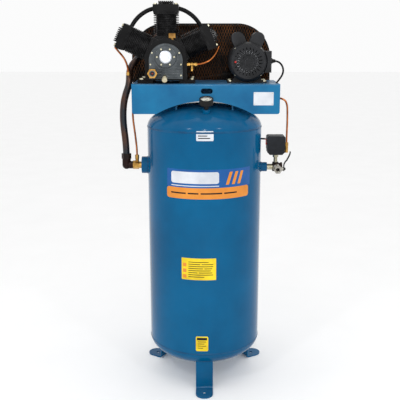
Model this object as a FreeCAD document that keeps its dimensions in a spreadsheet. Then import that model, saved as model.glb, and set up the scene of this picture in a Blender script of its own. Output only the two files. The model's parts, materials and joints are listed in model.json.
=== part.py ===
"""Vertical tank air compressor: three-cylinder belt-driven pump and motor on a channel plate over an
upright receiver on three strap legs. Millimetres, +X to the right of the operator who faces it,
+Y to the belt side, +Z up. The origin lies on the floor under the receiver's axis."""
import FreeCAD, Part
import math
import os
import re
import Sketcher

Vector = FreeCAD.Vector
Rotation = FreeCAD.Rotation
Placement = FreeCAD.Placement

doc = FreeCAD.newDocument("TankCompressor")

# ---------------------------------------------------------------- driving dimensions

DIMENSIONS = {
    "Receiver": [
        ("tank_radius", 254, "20 inch outer diameter shell"),
        ("tank_wall", 4, "plate thickness of shell and heads"),
        ("shell_bottom", 181, "height of the lower girth seam"),
        ("shell_top", 1170, "height of the upper girth seam"),
        ("top_rise", 104, "rise of the upper head"),
        ("bottom_rise", 102, "drop of the lower head"),
        ("bung_radius", 38, "outer radius of the inlet bung on the left"),
        ("outlet_bung_radius", 21, "outer radius of the outlet bung on the right"),
        ("bung_face", 282, "distance of a side bung's face from the tank axis"),
        ("port_radius", 13.4, "radius of the pipes screwed into the side bungs"),
        ("inlet_height", 992, "height of the inlet bung on the left"),
        ("outlet_height", 983, "height of the outlet bung on the right"),
    ],
    "Legs": [
        ("leg_width", 76.6, "width of a strap leg"),
        ("leg_thick", 6, "thickness of a strap leg"),
        ("leg_radius", 222, "distance of the upright strap from the tank axis"),
        ("foot_reach", 316, "distance of the foot's rounded end from the tank axis"),
        ("foot_bend", 8, "inner bend radius between strap and foot"),
        ("foot_bolt_radius", 270, "radius of the circle of the floor bolts"),
        ("foot_hole", 8, "radius of a floor bolt's hole"),
    ],
    "Plate": [
        ("plate_top", 1362, "height of the mounting plate's upper face"),
        ("plate_thick", 5, "sheet thickness"),
        ("plate_left", -306, "left end"),
        ("plate_right", 318, "right end"),
        ("plate_half", 153, "half of the depth over both skirts"),
        ("plate_skirt", 125, "height of the front and rear skirts"),
        ("plate_bend", 7, "outer bend radius along the skirts"),
        ("plate_corner", 10, "radius of the skirts' lower corners"),
        ("arch_radius", 411, "radius of the arch that clears the upper head"),
        ("arch_crown", 1291, "height of the arch's crown"),
        ("saddle_offset", 120, "distance of a saddle from the tank axis"),
        ("saddle_thick", 6, "thickness of a saddle"),
        ("saddle_half", 110, "half length of a saddle"),
    ],
    "Belt guard": [
        ("guard_left", -332, "left side"),
        ("guard_right", 301, "right side"),
        ("guard_bottom", 1328, "underside"),
        ("guard_top", 1615, "upper side"),
        ("guard_front", 153, "front edge"),
        ("guard_back", 256, "rear edge"),
        ("guard_high_corner", 150, "radius of the upper corners"),
        ("guard_low_corner", 30, "radius of the lower corners"),
        ("guard_sheet", 2, "thickness of the band"),
        ("mesh_thick", 1.5, "thickness of the expanded metal"),
        ("vent_step", 20, "distance between the vent slots in the rear sheet"),
        ("vent_wide", 8, "width of a vent slot"),
        ("vent_tall", 90, "height of a vent slot between its round ends"),
    ],
    "Drive": [
        ("crank_x", -162, "crank axis, across"),
        ("crank_z", 1473, "crank axis, height"),
        ("motor_x", 184.5, "motor axis, across"),
        ("motor_z", 1452, "motor axis, height"),
        ("rim_front", 172, "front face of both rims"),
        ("rim_width", 40, "width of both rims"),
        ("groove_step", 16, "distance between the two belt grooves"),
        ("groove_top", 6.5, "half width of a groove at the rim"),
        ("groove_foot", 3.6, "half width of a groove at its bottom"),
        ("groove_depth", 10, "depth of a groove"),
        ("wheel_radius", 128, "outer radius of the flywheel"),
        ("pulley_radius", 56, "outer radius of the motor pulley"),
        ("belt_height", 7.5, "height of a belt's section"),
        ("belt_gap", 0.5, "room between a belt and the groove's side"),
    ],
    "Pump": [
        ("case_half", 88.5, "half width of the crankcase and radius of its arch"),
        ("case_arch", 1459, "height of the arch's centre"),
        ("case_base", 1376, "underside of the sump"),
        ("case_front", -118, "front face of the crankcase"),
        ("case_back", 60, "rear face of the crankcase"),
        ("case_wall", 8, "wall thickness"),
        ("cover_half", 70.5, "half width of the front cover"),
        ("cover_arch", 1457.5, "height of the cover's arch centre"),
        ("cover_thick", 12, "thickness of the front cover"),
        ("bank_angle", 65.5, "angle between the upright cylinder and a side cylinder"),
        ("bank_mid", -40, "position of the upright cylinder along the crank axis"),
        ("bank_stagger", 15, "distance between neighbouring rods along the crank"),
        ("deck_base", 78, "distance of the cylinder's seat from the crank axis"),
        ("deck_top", 181, "distance of the cylinder's upper end from the crank axis"),
        ("head_base", 186, "distance of the head's seat from the crank axis"),
        ("head_roof", 214, "distance of the head's roof from the crank axis"),
        ("head_crest", 228, "distance of the head's ribs from the crank axis"),
        ("head_half", 53.5, "half width of a head"),
        ("bore_radius", 37.5, "cylinder bore"),
        ("barrel_radius", 43, "outer radius of the barrel under the fins"),
        ("fin_radius", 54, "outer radius of the fins"),
        ("fin_pitch", 7, "distance between fins"),
        ("fin_thick", 2.8, "thickness of a fin"),
        ("fin_count", 12, "fins on a cylinder"),
        ("head_bolt_reach", 43, "distance of a head bolt from the cylinder's axis planes"),
        ("throw", 20, "crank throw, half of the stroke"),
        ("pin_radius", 14, "crankpin"),
        ("rod_length", 98, "distance between the rod's two eyes"),
        ("rod_half", 6, "half thickness of a rod"),
        ("crown_height", 60, "distance of the piston's crown from its pin"),
        ("piston_gap", 0.3, "radial room around a piston"),
        ("shaft_fit", 0.05, "radial running clearance of a shaft"),
    ],
    "Motor": [
        ("motor_radius", 82.5, "outer radius of the motor's shell"),
        ("motor_front", -92, "front end of the shell"),
        ("motor_back", 84, "rear end of the shell"),
        ("bell_radius", 73, "radius of the end bell's face"),
        ("bell_depth", 28, "depth of an end bell"),
        ("motor_shaft", 9.5, "shaft radius"),
        ("rotor_radius", 49.4, "rotor core radius"),
        ("vent_count", 24, "vent slots in an end bell"),
        ("cap_reach", 105, "distance of a capacitor cover's axis from the motor's axis"),
        ("cap_radius", 27, "radius of a capacitor cover"),
        ("cap_lean", 24, "lean of a capacitor cover from upright"),
        ("button_x", 130.4, "reset button, across"),
    ],
    "Fittings": [
        ("gauge_x", 8, "gauge, across"),
        ("gauge_y", -173, "gauge bung on the upper head, depth"),
        ("gauge_tilt", 19, "lean of the gauge towards the operator"),
        ("gauge_radius", 29.5, "gauge case"),
        ("tee_x", 329, "outlet tee, across"),
        ("pipe_radius", 13.4, "half inch class steel pipe"),
        ("copper_radius", 4.2, "unloader, pilot and head lines"),
        ("discharge_radius", 15.2, "discharge tube"),
        ("lead_radius", 4, "motor lead"),
        ("switch_left", 282, "pressure switch, left side"),
        ("switch_right", 358, "pressure switch, right side"),
        ("switch_base", 1042, "pressure switch, underside"),
        ("switch_seam", 1064, "pressure switch, joint of base and cover"),
        ("switch_crest", 1126, "pressure switch, upper side"),
        ("switch_half", 34, "pressure switch, half depth"),
    ],
}

sizes = doc.addObject("Spreadsheet::Sheet", "Sizes")
ALIASES = set()
row = 1
for section, entries in DIMENSIONS.items():
    sizes.set(f"A{row}", section)
    row += 1
    for alias, number, meaning in entries:
        sizes.set(f"A{row}", alias)
        sizes.set(f"B{row}", str(number))
        sizes.set(f"C{row}", meaning)
        sizes.setAlias(f"B{row}", alias)
        ALIASES.add(alias)
        row += 1
doc.recompute()


def bind(text):
    """An expression in which every alias of the sheet is written as a reference to its cell."""
    return re.sub(r"[a-z][a-z_]+", lambda m: ("Sizes." if m[0] in ALIASES else "") + m[0], str(text))


def value(text):
    """The number that an expression over the sheet's aliases has now."""
    result = sizes.evalExpression(bind(text))
    return float(getattr(result, "Value", result))


def minus(text):
    """The expression with the opposite sign."""
    return f"-({text})"


# ---------------------------------------------------------------- building blocks

ALONG = {
    "X": Rotation(Vector(0, 1, 0), 90),
    "Y": Rotation(Vector(1, 0, 0), -90),
    "Z": Rotation(),
}
HERE = ("0", "0", "0")
nodes = []


def place(obj, at=HERE, turn=None):
    """Turn an object about its own origin, then move that origin to a point of three expressions."""
    obj.Placement = Placement(Vector(), turn or Rotation())
    for letter, text in zip("xyz", at):
        obj.setExpression("Placement.Base." + letter, bind(text))
    return obj


def primitive(kind, dimensions, at, turn=None):
    """A Part primitive whose dimensions follow expressions."""
    obj = doc.addObject("Part::" + kind, kind)
    for name, text in dimensions.items():
        obj.setExpression(name, bind(text))
    return place(obj, at, turn)


def cylinder(radius, length, at=HERE, along="Z"):
    return primitive("Cylinder", {"Radius": radius, "Height": length}, at, ALONG[along])


def cone(radius, end_radius, length, at=HERE, along="Z"):
    dimensions = {"Radius1": radius, "Radius2": end_radius, "Height": length}
    return primitive("Cone", dimensions, at, ALONG[along])


def box(length, depth, height, at=HERE):
    """A box from its lowest corner."""
    return primitive("Box", {"Length": length, "Width": depth, "Height": height}, at)


def block(length, depth, height, at=HERE):
    """A box that stands on the middle of its lower face."""
    x, y, z = at
    return box(length, depth, height, (f"{x} - ({length}) / 2", f"{y} - ({depth}) / 2", z))


def hexagon(across_flats, length, at=HERE, along="Z"):
    dimensions = {"Circumradius": f"({across_flats}) / sqrt(3)", "Height": length}
    obj = primitive("Prism", dimensions, at, ALONG[along])
    obj.Polygon = 6
    return obj


def ball(radius, at=HERE):
    return primitive("Sphere", {"Radius": radius}, at)


def fuse(*pieces):
    obj = doc.addObject("Part::MultiFuse", "Fuse")
    obj.Shapes = list(pieces)
    return obj


def cut(base, *tools):
    obj = doc.addObject("Part::Cut", "Cut")
    obj.Base = base
    obj.Tool = tools[0] if len(tools) == 1 else fuse(*tools)
    return obj


def common(first, second):
    obj = doc.addObject("Part::Common", "Common")
    obj.Base = first
    obj.Tool = second
    return obj


def group(*pieces):
    """Separate solids that share one node."""
    obj = doc.addObject("Part::Compound", "Group")
    obj.Links = list(pieces)
    return obj


def node(label, obj):
    """Name a finished sub-part and list it for writing."""
    obj.Label = label
    nodes.append(obj)
    return obj


def draw(sketch, outline):
    """Draw a closed outline of corners (x, y). A corner (x, y, radius, turn) starts an arc instead of a
    line: turn is 1 counter-clockwise and -1 clockwise. Every corner and radius is constrained."""
    corners = [Vector(value(c[0]), value(c[1]), 0) for c in outline]
    edges = []
    for i, corner in enumerate(outline):
        here = corners[i]
        there = corners[(i + 1) % len(corners)]
        if len(corner) == 2:
            edges.append((sketch.addGeometry(Part.LineSegment(here, there), False), 1, 2))
            continue
        radius = value(corner[2])
        half = (there - here) * 0.5
        side = Vector(-half.y, half.x, 0).normalize() * corner[3]
        centre = here + half + side * math.sqrt(max(radius**2 - half.Length**2, 0))
        first, last = (here, there) if corner[3] > 0 else (there, here)
        start = math.atan2(first.y - centre.y, first.x - centre.x)
        stop = math.atan2(last.y - centre.y, last.x - centre.x)
        circle = Part.Circle(centre, Vector(0, 0, 1), radius)
        arc = Part.ArcOfCircle(circle, start, stop if stop > start else stop + 2 * math.pi)
        edges.append((sketch.addGeometry(arc, False), *((1, 2) if corner[3] > 0 else (2, 1))))
    for i, (edge, start, end) in enumerate(edges):
        following, following_start, _ = edges[(i + 1) % len(edges)]
        sketch.addConstraint(Sketcher.Constraint("Coincident", edge, end, following, following_start))
        for kind, text, axis in (("DistanceX", outline[i][0], -2), ("DistanceY", outline[i][1], -1)):
            if str(text) == "0":
                sketch.addConstraint(Sketcher.Constraint("PointOnObject", edge, start, axis))
                continue
            index = sketch.addConstraint(Sketcher.Constraint(kind, -1, 1, edge, start, value(text)))
            sketch.setExpression(f"Constraints[{index}]", bind(text))
        if len(outline[i]) > 2:
            index = sketch.addConstraint(Sketcher.Constraint("Radius", edge, value(outline[i][2])))
            sketch.setExpression(f"Constraints[{index}]", bind(outline[i][2]))


def new_sketch(body, plane, outlines, offset="0"):
    """A sketch on one of the body's origin planes, moved along the plane's normal by offset."""
    sketch = body.newObject("Sketcher::SketchObject", "Sketch")
    support = [f for f in body.Origin.OriginFeatures if f.Role == plane + "_Plane"][0]
    sketch.AttachmentSupport = [(support, "")]
    sketch.MapMode = "FlatFace"
    sketch.setExpression("AttachmentOffset.Base.z", bind(offset))
    for outline in outlines:
        draw(sketch, outline)
    return sketch


def prism(plane, outlines, offset, length):
    """A body padded from outlines on XY, XZ or YZ, from offset along the normal (+Z, -Y, +X)."""
    body = doc.addObject("PartDesign::Body", "Prism")
    pad = body.newObject("PartDesign::Pad", "Pad")
    pad.Profile = new_sketch(body, plane, outlines, offset)
    pad.setExpression("Length", bind(length))
    body.Tip = pad
    return body


def turned(outline, at=HERE, along="Z"):
    """A body turned about its own Z axis from an outline of (radius, height), then laid along an axis."""
    body = doc.addObject("PartDesign::Body", "Turned")
    sketch = new_sketch(body, "XZ", [outline])
    turning = body.newObject("PartDesign::Revolution", "Revolution")
    turning.Profile = sketch
    turning.ReferenceAxis = (sketch, ["V_Axis"])
    turning.Angle = 360
    body.Tip = turning
    return place(body, at, ALONG[along])


def carry(obj, at=HERE, turn=None):
    """Move a finished object with everything in it, keeping its own placement."""
    return place(group(obj), at, turn)


def lean(obj, axis, angle, at=HERE):
    """Lean a finished object about an axis through the origin by an angle of the sheet, then move it."""
    carried = carry(obj, at, Rotation(axis, 10))
    carried.setExpression("Placement.Rotation.Angle", f"({bind(angle)}) * 1 deg")
    return carried


def bolt(at, along="Z", radius="5", head="17", grip="20", flip=False):
    """A hexagon bolt whose head stands on the point, with its shank behind it, or in front if flipped."""
    head_height = f"({radius}) * 1.3"
    axis = "XYZ".index(along)
    head_at = list(at)
    shank_at = list(at)
    if flip:
        head_at[axis] = f"{at[axis]} - {head_height}"
    else:
        shank_at[axis] = f"{at[axis]} - ({grip})"
    return fuse(hexagon(head, head_height, head_at, along), cylinder(radius, grip, shank_at, along))


def route(points):
    """A wire of straight runs joined by tangent arcs, each as large as its two runs allow."""
    points = [Vector(*(value(number) for number in point)) for point in points]
    edges = []
    last = points[0]
    radii = []
    for before, corner, after in zip(points, points[1:], points[2:]):
        inward = (corner - before).normalize()
        outward = (after - corner).normalize()
        reach = 0.45 * min((corner - before).Length, (after - corner).Length)
        half_turn = inward.getAngle(outward) / 2
        radius = reach / math.tan(half_turn)
        middle = corner + (outward - inward).normalize() * (radius / math.cos(half_turn) - radius)
        start = corner - inward * reach
        edges.append(Part.LineSegment(last, start).toShape())
        last = corner + outward * reach
        edges.append(Part.Arc(start, middle, last).toShape())
        radii.append(round(radius))
    edges.append(Part.LineSegment(last, points[-1]).toShape())
    return Part.Wire(edges), (points[1] - points[0]), radii


def tube(name, radius, points):
    """A round tube along a route, as a feature of its own."""
    path, direction, radii = route(points)
    start = path.Vertexes[0].Point
    section = Part.Wire(Part.Circle(start, direction, value(radius)).toShape())
    shape = path.makePipeShell([section], True, False)
    expected = math.pi * value(radius) ** 2 * path.Length
    if abs(shape.Volume / expected - 1) > 0.01:
        raise ValueError(f"{name}: the swept volume is wrong")
    print(f"{name}: length {path.Length:.0f}, bend radii {radii}")
    obj = doc.addObject("Part::Feature", name)
    obj.Shape = shape
    obj.Placement = Placement()
    return obj


# ---------------------------------------------------------------- receiver


def half_ellipsoid(inset, rise, height, upper):
    """The upper or lower half of the head's ellipsoid, inset by the wall for its inside."""
    radius = f"tank_radius - ({inset})"
    obj = primitive("Ellipsoid", {"Radius1": f"{rise} - ({inset})", "Radius2": radius, "Radius3": radius},
                    ("0", "0", height))
    obj.Angle1 = 0 if upper else -90
    obj.Angle2 = 90 if upper else 0
    return obj


def make_receiver():
    shell = turned([
        ("tank_radius - tank_wall", "shell_bottom"),
        ("tank_radius", "shell_bottom"),
        ("tank_radius", "shell_top"),
        ("tank_radius - tank_wall", "shell_top"),
    ])
    inlet_hole = cylinder("port_radius", "30", ("-tank_radius - 10", "0", "inlet_height"), "X")
    outlet_hole = cylinder("port_radius", "30", ("tank_radius - 20", "0", "outlet_height"), "X")
    node("tank_shell", cut(shell, inlet_hole, outlet_hole))

    gauge_hole = lean(cylinder("5", "60", ("0", "0", "-30")), Vector(1, 0, 0), "gauge_tilt", GAUGE_FOOT)
    upper = cut(half_ellipsoid("0", "top_rise", "shell_top", True),
                half_ellipsoid("tank_wall", "top_rise", "shell_top", True), gauge_hole)
    lower = cut(half_ellipsoid("0", "bottom_rise", "shell_bottom", False),
                half_ellipsoid("tank_wall", "bottom_rise", "shell_bottom", False),
                cylinder("9", "40", ("0", "0", "shell_bottom - bottom_rise - 10")))
    node("tank_heads", group(upper, lower))

    side_bungs = []
    for start, radius, height in (("-bung_face", "bung_radius", "inlet_height"),
                                  ("bung_face - 50", "outlet_bung_radius", "outlet_height")):
        blank = cylinder(radius, "50", (start, "0", height), "X")
        drilled = cut(blank, cylinder("port_radius", "60", (f"{start} - 5", "0", height), "X"),
                      cylinder("tank_radius", "200", ("0", "0", f"{height} - 100")))
        side_bungs.append(drilled)
    gauge_boss = lean(cut(cylinder("17", "36", ("0", "0", "-20")), cylinder("8", "50", ("0", "0", "-25"))),
                      Vector(1, 0, 0), "gauge_tilt", GAUGE_FOOT)
    gauge_bung = cut(gauge_boss, half_ellipsoid("0", "top_rise", "shell_top", True))
    drain_boss = cut(cylinder("20", "40", ("0", "0", "shell_bottom - bottom_rise - 18")),
                     cylinder("9", "60", ("0", "0", "shell_bottom - bottom_rise - 30")))
    drain_bung = cut(drain_boss, half_ellipsoid("0", "bottom_rise", "shell_bottom", False))
    node("tank_bungs", group(*side_bungs, gauge_bung, drain_bung))


def make_leg(angle):
    """One strap leg, bent outwards into a foot with a rounded end, under the lower head."""
    outer_bend = "(foot_bend + leg_thick)"
    knee = "(leg_radius + foot_bend + leg_thick)"
    side = prism("XZ", [[
        ("leg_radius", outer_bend, outer_bend, 1),
        (knee, "0"),
        ("foot_reach", "0"),
        ("foot_reach", "leg_thick"),
        (knee, "leg_thick", "foot_bend", -1),
        ("leg_radius + leg_thick", outer_bend),
        ("leg_radius + leg_thick", "shell_bottom - 20"),
        ("leg_radius", "shell_bottom - 20"),
    ]], "-leg_width / 2", "leg_width")
    toe = "foot_reach - leg_width / 2"
    plan = prism("XY", [[
        ("leg_radius - 10", "-leg_width / 2"),
        (toe, "-leg_width / 2", "leg_width / 2", 1),
        ("foot_reach", "0", "leg_width / 2", 1),
        (toe, "leg_width / 2"),
        ("leg_radius - 10", "leg_width / 2"),
    ]], "-10", "shell_bottom")
    hole = cylinder("foot_hole", "leg_thick + 10", ("foot_bolt_radius", "0", "-5"))
    leg = cut(common(side, plan), hole, half_ellipsoid("0", "bottom_rise", "shell_bottom", False))
    leg.Placement = Placement(Vector(), Rotation(Vector(0, 0, 1), angle))
    return leg


def make_legs():
    node("strap_legs", group(*[make_leg(angle) for angle in (-90, 30, 150)]))


# ---------------------------------------------------------------- mounting plate

PUMP_BOLTS = [(x, y) for x in ("crank_x - 104", "crank_x + 110")
              for y in ("case_front + 18", "case_back - 18")]
MOTOR_BOLTS = [(x, y) for x in ("motor_x - 74", "motor_x + 74") for y in ("-45", "45")]
GUARD_BOLTS = ["crank_x + 20", "motor_x - 60"]
GUARD_BOLT_HEIGHT = "guard_bottom + 16"
LEAD_HOLE = ("306", "-80")
HAND_HOLE = ("-4", "24", "1333")


def make_plate():
    skirt = "plate_half - plate_thick"
    low = "plate_top - plate_skirt"
    inner_bend = "plate_bend - plate_thick"
    channel = prism("YZ", [[
        ("-plate_half", low),
        ("-plate_half", "plate_top - plate_bend", "plate_bend", -1),
        ("-plate_half + plate_bend", "plate_top"),
        ("plate_half - plate_bend", "plate_top", "plate_bend", -1),
        ("plate_half", "plate_top - plate_bend"),
        ("plate_half", low),
        (skirt, low),
        (skirt, "plate_top - plate_bend", inner_bend, 1),
        ("plate_half - plate_bend", "plate_top - plate_thick"),
        ("-plate_half + plate_bend", "plate_top - plate_thick", inner_bend, 1),
        (minus(skirt), "plate_top - plate_bend"),
        (minus(skirt), low),
    ]], "plate_left", "plate_right - plate_left")
    arch_half = f"sqrt(arch_radius^2 - ({low} - arch_crown + arch_radius)^2)"
    side_view = prism("XZ", [[
        ("plate_left", f"{low} + plate_corner", "plate_corner", 1),
        ("plate_left + plate_corner", low),
        (minus(arch_half), low, "arch_radius", -1),
        (arch_half, low),
        ("plate_right - plate_corner", low, "plate_corner", 1),
        ("plate_right", f"{low} + plate_corner"),
        ("plate_right", "plate_top"),
        ("plate_left", "plate_top"),
    ]], "-plate_half - 10", "2 * plate_half + 20")
    hole_left, hole_right, hole_height = HAND_HOLE
    hand_hole = fuse(
        box(f"{hole_right} - ({hole_left})", "30", "22",
            (hole_left, "-plate_half - 10", f"{hole_height} - 11")),
        *[cylinder("11", "30", (x, "-plate_half - 10", hole_height), "Y") for x in (hole_left, hole_right)],
    )
    through = [cylinder("5.5", "30", (x, y, "plate_top - 15")) for x, y in PUMP_BOLTS + MOTOR_BOLTS]
    through += [cylinder("4.5", "30", (x, "plate_half - 15", GUARD_BOLT_HEIGHT), "Y") for x in GUARD_BOLTS]
    through.append(cylinder("9", "30", (*LEAD_HOLE, "plate_top - 15")))
    node("top_plate", cut(common(channel, side_view), hand_hole, *through))

    saddles = []
    for side in ("-", ""):
        web = block("saddle_thick", "2 * saddle_half", "plate_top - plate_thick - shell_top - 20",
                    (f"{side}saddle_offset", "0", "shell_top + 20"))
        lip = block("34", "2 * saddle_half", "saddle_thick",
                    (f"{side}(saddle_offset + 14)", "0", "plate_top - plate_thick - saddle_thick"))
        saddles.append(cut(fuse(web, lip), half_ellipsoid("0", "top_rise", "shell_top", True)))
    node("plate_saddles", group(*saddles))


# ---------------------------------------------------------------- belt guard


def guard_outline(inset):
    """The guard's side view, inset by a sheet thickness for its inside."""
    left = f"(guard_left + {inset})"
    right = f"(guard_right - {inset})"
    low = f"(guard_bottom + {inset})"
    high = f"(guard_top - {inset})"
    small = f"(guard_low_corner - {inset})"
    large = f"(guard_high_corner - {inset})"
    return [
        (f"{left} + {small}", low),
        (f"{right} - {small}", low, small, 1),
        (right, f"{low} + {small}"),
        (right, f"{high} - {large}", large, 1),
        (f"{right} - {large}", high),
        (f"{left} + {large}", high, large, 1),
        (left, f"{high} - {large}"),
        (left, f"{low} + {small}", small, 1),
    ]


def make_guard():
    band = prism("XZ", [guard_outline("0"), guard_outline("guard_sheet")], "-guard_back",
                 "guard_back - guard_front")
    rear = prism("XZ", [guard_outline("guard_sheet")], "-guard_back", "guard_sheet")
    slots = []
    for i in range(-4, 5):
        across = f"crank_x + {i} * vent_step"
        slots.append(block("vent_wide", "40", "vent_tall", (across, "guard_back", "crank_z - vent_tall / 2")))
        for end in ("crank_z - vent_tall / 2", "crank_z + vent_tall / 2"):
            slots.append(cylinder("vent_wide / 2", "40", (across, "guard_back - 20", end), "Y"))
    node("guard_band", fuse(band, cut(rear, *slots)))
    bolt_holes = [cylinder("4.5", "30", (x, "guard_front - 15", GUARD_BOLT_HEIGHT), "Y") for x in GUARD_BOLTS]
    front = cut(prism("XZ", [guard_outline("guard_sheet")], "-guard_front - mesh_thick", "mesh_thick"),
                cylinder("34", "40", ("crank_x", "guard_front - 20", "crank_z"), "Y"),
                cylinder("24", "40", ("motor_x", "guard_front - 20", "motor_z"), "Y"), *bolt_holes)
    node("guard_mesh", front)


# ---------------------------------------------------------------- drive


def grooved_wheel(rim, rim_inside, hub, bore, hub_front, hub_back, at):
    """A two-groove wheel along Y: rim, web and hub turned in one outline."""
    grooves = []
    for side in ("-", "+"):
        middle = f"(rim_front + rim_width / 2 {side} groove_step / 2)"
        grooves += [
            (rim, f"{middle} - groove_top"),
            (f"{rim} - groove_depth", f"{middle} - groove_foot"),
            (f"{rim} - groove_depth", f"{middle} + groove_foot"),
            (rim, f"{middle} + groove_top"),
        ]
    web_front = "rim_front + rim_width / 2 - 4"
    web_back = "rim_front + rim_width / 2 + 4"
    return turned([
        (bore, hub_front),
        (hub, hub_front),
        (hub, web_front),
        (rim_inside, web_front),
        (rim_inside, "rim_front"),
        (rim, "rim_front"),
        *grooves,
        (rim, "rim_front + rim_width"),
        (rim_inside, "rim_front + rim_width"),
        (rim_inside, web_back),
        (hub, web_back),
        (hub, hub_back),
        (bore, hub_back),
    ], at, "Y")


def make_belts():
    """Two V-belts round flywheel and pulley, as trapezia swept along the outer tangents."""
    wheel = Vector(value("crank_x"), 0, value("crank_z"))
    pulley = Vector(value("motor_x"), 0, value("motor_z"))
    wheel_radius = value("wheel_radius")
    pulley_radius = value("pulley_radius")
    line = pulley - wheel
    slope = math.atan2(line.z, line.x)
    tangent = math.acos((wheel_radius - pulley_radius) / line.Length)

    def rim_point(centre, radius, angle, depth):
        return Vector(centre.x + radius * math.cos(angle), depth, centre.z + radius * math.sin(angle))

    rims = ((wheel, wheel_radius), (pulley, pulley_radius))
    belts = []
    for side in (-1, 1):
        depth = value("rim_front + rim_width / 2") + side * value("groove_step") / 2
        upper = [rim_point(centre, radius, slope + tangent, depth) for centre, radius in rims]
        lower = [rim_point(centre, radius, slope - tangent, depth) for centre, radius in rims]
        far_pulley = rim_point(pulley, pulley_radius, slope, depth)
        far_wheel = rim_point(wheel, wheel_radius, slope + math.pi, depth)
        path = Part.Wire([
            Part.LineSegment(upper[0], upper[1]).toShape(),
            Part.Arc(upper[1], far_pulley, lower[1]).toShape(),
            Part.LineSegment(lower[1], lower[0]).toShape(),
            Part.Arc(lower[0], far_wheel, upper[0]).toShape(),
        ])
        outward = Vector(math.cos(slope + tangent), 0, math.sin(slope + tangent))
        taper = value("(groove_top - groove_foot) / groove_depth")
        top_half = value("groove_top - belt_gap")
        foot_half = top_half - taper * value("belt_height")
        foot = upper[0] - outward * value("belt_height")
        across = Vector(0, 1, 0)
        section = Part.makePolygon([
            upper[0] + across * top_half,
            upper[0] - across * top_half,
            foot - across * foot_half,
            foot + across * foot_half,
            upper[0] + across * top_half,
        ])
        belt = doc.addObject("Part::Feature", "Belt")
        belt.Shape = path.makePipeShell([section], True, False)
        belts.append(belt)
    node("drive_belts", group(*belts))


# ---------------------------------------------------------------- pump

SIGHT_PAD = ("18", "crank_x - 56", "1405")
DRAIN_PAD = ("11", "crank_x - 4", "1393")
BANKS = {
    "left": (-1, "bank_mid - bank_stagger"),
    "centre": (0, "bank_mid"),
    "right": (1, "bank_mid + bank_stagger"),
}


def onto_bank(obj, side, depth, origin=("crank_x", "crank_z")):
    """Lean an object built along +Z from the crank axis into its cylinder bank."""
    at = (origin[0], depth, origin[1])
    if side == 0:
        return carry(obj, at)
    return lean(obj, Vector(0, side, 0), "bank_angle", at)


def arch(half, base, centre):
    """A doorway outline about the crank's plane: straight sides under a round top."""
    return [
        (f"crank_x - {half}", base),
        (f"crank_x + {half}", base),
        (f"crank_x + {half}", centre, half, 1),
        ("crank_x", f"{centre} + {half}", half, 1),
        (f"crank_x - {half}", centre),
    ]


def round_crank(count, reach, first):
    """Evenly spaced places (x, z) on a circle about the crank axis, from a first angle in degrees."""
    angles = [first + 360 / count * i for i in range(count)]
    return [(f"crank_x + {reach} * cos({angle} deg)", f"crank_z + {reach} * sin({angle} deg)")
            for angle in angles]


def make_crankcase():
    outside = prism("XZ", [arch("case_half", "case_base", "case_arch")], "-case_back",
                    "case_back - case_front")
    feet_depth = "case_back - case_front - 16"
    left_foot = box("66", feet_depth, "16", ("crank_x - 122", "case_front + 8", "plate_top"))
    right_foot = box("66", feet_depth, "16", ("crank_x + 56", "case_front + 8", "plate_top"))
    inside = prism("XZ", [arch("(case_half - case_wall)", "case_base + 14", "case_arch")],
                   "-case_back + case_wall", "case_back - case_front - 2 * case_wall")
    doorway = prism("XZ", [arch("(cover_half - 10)", "case_base + 20", "cover_arch")],
                    "-case_front - 20", "30")
    pads, flats, bores = [], [], []
    for side, depth in BANKS.values():
        pads.append(onto_bank(block("100", "100", "deck_base - 56", ("0", "0", "56")), side, depth))
        flats.append(onto_bank(block("100", "100", "60", ("0", "0", "deck_base")), side, depth))
        bore = cylinder("barrel_radius + 1", "60", ("0", "0", "deck_base - 40"))
        bores.append(onto_bank(bore, side, depth))
    bearing_hole = cylinder("40.5", "40", ("crank_x", "case_back - 20", "crank_z"), "Y")
    foot_holes = [cylinder("5.5", "60", (x, y, "plate_top - 10")) for x, y in PUMP_BOLTS]
    solid = fuse(outside, left_foot, right_foot, *pads)
    node("crankcase", cut(solid, inside, doorway, bearing_hole, *flats, *bores, *foot_holes))


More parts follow.
